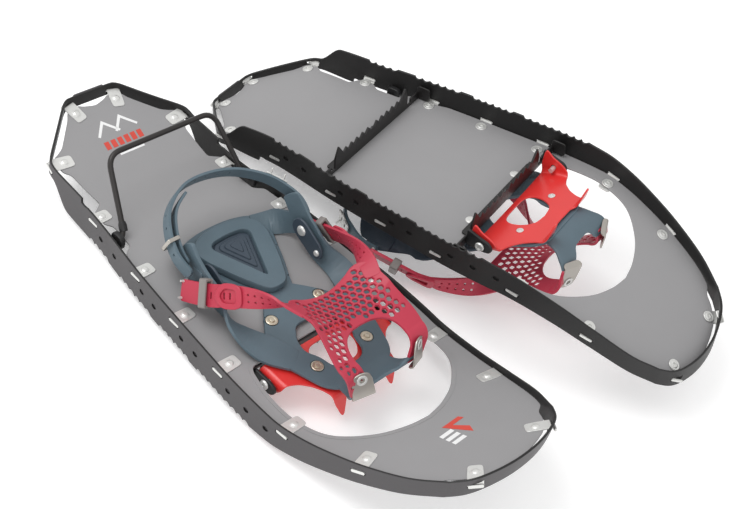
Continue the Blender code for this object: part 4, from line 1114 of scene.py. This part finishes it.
def inside(point, outline, margin):
    """Whether a point lies in the outline, at least the margin from its edge."""
    within = False
    for a, b in zip(outline, outline[1:] + outline[:1]):
        if (a.y > point.y) != (b.y > point.y) and point.x < (b.x - a.x) * (point.y - a.y) / (b.y - a.y) + a.x:
            within = not within
        line = b - a
        share = min(1, max(0, (point - a).dot(line) / max(line.length_squared, 1e-12)))
        if (a + line * share - point).length < margin:
            return False
    return within


def mesh_surface(x, y, t):
    """Point of the mesh strap. Its front arms bend down behind the toe tabs."""
    ahead, drop = fold(y - ARM_BEND, 0.01, 78, t)
    bend_at = min(y, ARM_BEND)
    return Vector((x, bend_at + max(0.0, ahead), strap_height(x, bend_at) - 0.0029 - drop))


def build_mesh_strap(shoe):
    """Four-armed strap over the forefoot, open with hexagonal holes in its middle."""
    front = mm_line((0, 87.5), (11, 88.5), (21, 93), (28, 101), (30.5, 112), (29, 123), (26.5, 134),
                    (25, 142))
    outer = mm_line((42.5, 142), (46, 131), (49, 120), (49.5, 106), (47.5, 92), (45, 76), (45.5, 63),
                    (47, 54))
    rear = mm_line((46.5, 47), (41, 40.5), (34, 39), (25, 41.5), (12, 44), (0, 45))
    half = [tuple(p) for p in smooth_curve(front, 3) + smooth_curve(outer, 3) + smooth_curve(rear, 3)]
    half = [(max(0.0, x), y) for x, y in half]
    outline = rounded(mirrored(half), 0.004, 3)
    holes = []
    pitch = 0.0066
    for row in range(-3, 19):
        for column in range(-10, 11):
            x = (column + 0.5 * (row % 2)) * pitch
            y = 0.044 + row * pitch * 0.866
            size = 0.0031 - 0.001 * min(1, max(0.0, abs(x) - 0.036) / 0.01)
            solid_arm = x < 0 and y > 0.1
            if y < 0.134 and not solid_arm and inside(Vector((x, y)), outline, size + 0.0009):
                holes.append(ellipse(x, y, size, size, 6))
    lines_x = [side * x for side in (1, -1) for x in spaced(0.004, 0.056, 0.004)]
    lines_y = spaced(0.036, 0.116, 0.004) + spaced(ARM_BEND, ARM_BEND + 0.014, 0.002) + [0.139]
    bm = bmesh.new()
    formed(bm, outline, 0.0027, mesh_surface, holes, cuts=(lines_x, lines_y), rim=0.0004)
    add(bm, shoe, "strap_mesh", "binding", "red_strap", ["mesh_strap"])


def side_route(side):
    """Points of a rear arm, from inside the mesh to its free end below the ear."""
    points = mm_line((40, 60, 56.8), (45.5, 47, 58.0), (52.5, 32, 54.5), (59.5, 16, 47.5), (66.0, -2, 37.5))
    points += mm_line((70.3, -15, 28.5), (73.5, -31, 19), (76.0, -46, 11))
    return [Vector((side * p.x, p.y, p.z)) for p in points]


def side_across(side):
    """Width direction along a rear arm: level in the mesh, then upright and leaning in at the top."""
    leaning = Vector((side * -0.4, -0.45, 0.78))
    ways = [Vector((side * 0.85, 0.3, 0.47)), Vector((side * 0.8, 0.3, 0.52))]
    ways += [Vector((side * 0.3, -0.1, 0.85)), Vector((side * -0.15, -0.35, 0.85))]
    return ways + [leaning] * 4


def box_ring(x, y):
    return rounded(box(-x, -y, x, y), 0.0014, 4)


def build_side_straps(shoe):
    """Slotted strap end from the mesh to each ear, its finger ring, its sliding keeper and its anchor."""
    for word, side in SIDES:
        route = Route(side_route(side), side_across(side))
        slots = [rounded(box(u - 0.0011, -0.003, u + 0.0011, 0.003), 0.0005, 2) for u in (0.07, 0.076, 0.09)]
        for u in spaced(0.026, 0.052, 0.0065):
            slots += [ellipse(u, v, 0.0013, 0.0013, 10) for v in (-0.003, 0.003)]
        bm = bmesh.new()
        strip(bm, route, [0.014, 0.0162, 0.017, 0.018, 0.019, 0.019, 0.0182], 0.0027, slots, ends=0.006)
        outer = in_mm(
            (58, -7.5), (64, -10.2), (77, -10.2), (84, -3), (84, 3), (77, 10.2), (64, 10.2), (58, 7.5),
        )
        inner = in_mm(
            (62.5, -4.8), (66, -6.6), (75.5, -6.6), (80, -1.8), (80, 1.8), (75.5, 6.6), (66, 6.6),
            (62.5, 4.8),
        )
        place = route.surface()
        outward = 1 if route.at(0.06)[2].x * side > 0 else -1
        formed(bm, rounded(outer, 0.004, 4), 0.0022, lambda u, v, t: place(u, v, outward * (0.0012 + t)),
               [rounded(inner, 0.003, 4)], cuts=(spaced(0.059, 0.083, 0.003), ()), rim=0.0006)
        add(bm, shoe, f"strap_end_{word}", "binding", "red_strap", [f"side_strap_{word}"])
        points = [mm(side * 70, -12, 32), mm(side * 73.5, -30, 21)]
        way = (points[1] - points[0]).normalized()
        middle = points[0].lerp(points[1], 0.62) - way * 0.004
        across = side_across(side)[-1]
        across = (across - way * across.dot(way)).normalized()
        turn = Matrix((across, way.cross(across), way)).transposed().to_4x4()
        bm = bmesh.new()
        place = Matrix.Translation(middle) @ turn
        plate(bm, box_ring(0.0122, 0.0042), 0.0078, place, [box_ring(0.0107, 0.0028)], rim=0.0006)
        body = f"keeper_{word}"
        add(bm, shoe, f"keeper_loop_{word}", body, "plastic", [f"strap_keeper_{word}"], look=KEEPER_LOOK)
        build_anchor(shoe, word, side)


def build_anchor(shoe, word, side):
    """Oval plate on the ear's inner face with its two rivets, and the wire hook that takes the strap."""
    outline = in_mm((-20, -6), (-13, -10), (13, -10), (21, -5), (22, 3), (15, 9), (-13, 10), (-20, 5))
    place = moved(side * 0.0526, -0.028, 0.02) @ turn_x(-22)
    bm = bmesh.new()
    plate(bm, rounded(outline, 0.005, 5), 0.0022, place @ lengthwise(0, side), rim=0.0006)
    add(bm, shoe, f"anchor_{word}", "binding", "plastic", [f"strap_buckle_{word}"], DARK_BLUE_GREY_AND_SHADE_LOOK, "stiff", side)
    bm = bmesh.new()
    for y, z, radius in ((-0.036, 0.023, 0.0052), (-0.013, 0.014, 0.0032)):
        head = facing(Vector((side * 0.0531, y, z)), Vector((-side, 0, 0)))
        turned(bm, [(radius, 0), (radius, 0.0005), (radius * 0.86, 0.0018), (radius * 0.5, 0.0027)], head)
    add(bm, shoe, f"anchor_rivets_{word}", "binding", "steel", pressing="stiff", side=side)
    bm = bmesh.new()
    for offset in (-0.0072, 0.0072):
        end = Vector((side * 0.0765, -0.045, 0.0125)) + side_across(side)[-1].normalized() * offset
        tube(bm, [end - Vector((side * 0.004, 0, 0)), end, end + Vector((side * 0.003, -0.0012, 0.001))],
             [0.0013, 0.0014, 0.0009], 10)
    add(bm, shoe, f"hook_prongs_{word}", "binding", "steel")


def heel_points(half, depth):
    """Loop of the heel strap in its own leaning plane: across, and along the lean. The right is longer."""
    shape = [(half, -0.05), (half + 0.002, 0.2), (half - 0.004, 0.47), (half - 0.017, 0.73), (0.028, 0.94)]
    quarter = [Vector((x, depth * share, 0)) for x, share in shape] + [Vector((0, depth, 0))]
    loop = quarter + [Vector((-p.x, p.y, 0)) for p in reversed(quarter[:-1])]
    return [Vector((p.x, p.y * (1 + HEEL_SKEW * p.x / half), 0)) for p in loop]


def build_heel_strap(shoe):
    """Strap behind the heel, doubled on its right side, with holes, a keeper and a pronged buckle."""
    lean = turn_x(180 - STRAP_LEAN)
    across = lean.to_3x3() @ Vector((0, 0, 1))
    points = [lean @ p for p in heel_points(shoe["half"], shoe["depth"])]
    route = Route(points, across)
    holes = [ellipse(u, 0, 0.0013, 0.0017, 10) for u in spaced(0.022, route.length * 0.62, 0.0125)]
    bm = bmesh.new()
    strip(bm, route, [0.013] * 3, 0.0027, holes, ends=0.004)
    inner = [p + Vector((-0.0052, -0.003, 0)) for p in heel_points(shoe["half"], shoe["depth"])[:5]]
    tail = Route([lean @ p for p in inner], across)
    holes = [ellipse(u, 0, 0.0012, 0.0016, 10) for u in spaced(0.02, 0.06, 0.0125)]
    strip(bm, tail, [0.0118] * 3, 0.0023, holes, span=(0.012, tail.length * 0.93), ends=0.005)
    add(bm, shoe, "heel_band", "heel_loop", "cradle", ["heel_strap"])
    at = lean @ moved(shoe["half"] - 0.0012, 0.027, 0) @ turn_x(-90)
    bm = bmesh.new()
    plate(bm, box_ring(0.006, 0.0083), 0.0034, at, [box_ring(0.0049, 0.007)], rim=0.0004)
    add(bm, shoe, "heel_ring", "heel_loop", "steel", ["heel_keeper"], LOOKS["bracket"])
    dense = smooth_curve(heel_points(shoe["half"], shoe["depth"]), 2)
    chord = (dense[16] - dense[14]).normalized()
    out = Vector((chord.y, -chord.x, 0))
    bulge = (dense[15] - dense[14]).dot(out) + 0.0026
    ends = [dense[14] + out * bulge, dense[16] + out * bulge]
    bm = bmesh.new()
    base = Route([lean @ p for p in ends], across, 4)
    holes = [ellipse(base.length * share, 0, 0.0016, 0.003, 12) for share in (0.3, 0.7)]
    strip(bm, base, [0.011, 0.0124, 0.011], 0.0014, holes)
    for p in ends:
        for end in (1, -1):
            foot = p.lerp(ends[0] + ends[1] - p, 0.2) + Vector((0, 0, end * 0.004))
            tip = foot + Vector((-0.002, 0.003, end * 0.006))
            tube(bm, [lean @ foot, lean @ foot.lerp(tip, 0.8), lean @ tip], [0.0012, 0.0012, 0.0007], 10)
    add(bm, shoe, "heel_clasp", "heel_loop", "steel", ["heel_buckle"])


# ---- Scene


def build_shoe(shoe):
    build_blade(shoe)
    build_splice(shoe)
    build_deck(shoe)
    build_clips(shoe)
    build_deck_studs(shoe)
    build_marks(shoe)
    build_crossbar(shoe, "front_bar", 0.046, 0.093, "front_crossbar")
    build_crossbar(shoe, "rear_bar", -0.105, 0.0845, "rear_crossbar")
    build_pivots(shoe)
    build_bail(shoe)
    build_crampon(shoe)
    build_cradle(shoe)
    build_heel_pad(shoe)
    build_seat_rivets(shoe)
    build_toe_brackets(shoe)
    build_mesh_strap(shoe)
    build_side_straps(shoe)
    build_heel_strap(shoe)


def build_floor():
    mesh = bpy.data.meshes.new("floor")
    mesh.from_pydata([(-6, -6, 0), (6, -6, 0), (6, 6, 0), (-6, 6, 0)], [], [(0, 1, 2, 3)])
    pale = finish("pale_floor", (0.86, 0.86, 0.86), 0.9, shift=0.005)
    glow = pale.node_tree.nodes["Principled BSDF"]
    glow.inputs["Emission Color"].default_value = (1, 1, 1, 1)
    glow.inputs["Emission Strength"].default_value = 0.28
    mesh.materials.append(pale)
    floor = bpy.data.objects.new("floor", mesh)
    bpy.context.scene.collection.objects.link(floor)
    floor.location.z = -0.0005


def area_light(name, place, aim, size, power):
    data = bpy.data.lights.new(name, "AREA")
    data.shape = "DISK"
    data.size = size
    data.energy = power
    light = bpy.data.objects.new(name, data)
    light.location = place
    light.rotation_euler = (Vector(aim) - Vector(place)).to_track_quat("-Z", "Y").to_euler()
    bpy.context.scene.collection.objects.link(light)


def light_and_camera():
    scene = bpy.context.scene
    scene.view_settings.view_transform = "Standard"
    world = bpy.data.worlds.new("studio")
    scene.world = world
    world.use_nodes = True
    sky = world.node_tree.nodes["Background"]
    sky.inputs["Color"].default_value = (1.0, 1.0, 1.0, 1)
    sky.inputs["Strength"].default_value = 0.8
    area_light("key", (0.7, -0.6, 1.6), (0, 0, 0), 1.2, 14)
    area_light("fill", (1.2, 1.3, 0.9), (0, 0, 0), 1.5, 6)
    data = bpy.data.cameras.new("camera")
    data.lens = 64.94
    data.sensor_width = 36
    data.dof.use_dof = False
    data.clip_start = 0.01
    camera = bpy.data.objects.new("camera", data)
    scene.collection.objects.link(camera)
    right = Vector((-0.688, 0.689, 0.2278)).normalized()
    back = Vector((0.6167, 0.3896, 0.684)).normalized()
    up = back.cross(right).normalized()
    place = SHOES[0]["places"]["root"].translation + Vector((0.6635, 0.499, 0.8592))
    camera.matrix_world = Matrix.Translation(place) @ Matrix((up.cross(back), up, back)).transposed().to_4x4()
    scene.camera = camera


for shoe in SHOES:
    build_shoe(shoe)
build_floor()
light_and_camera()
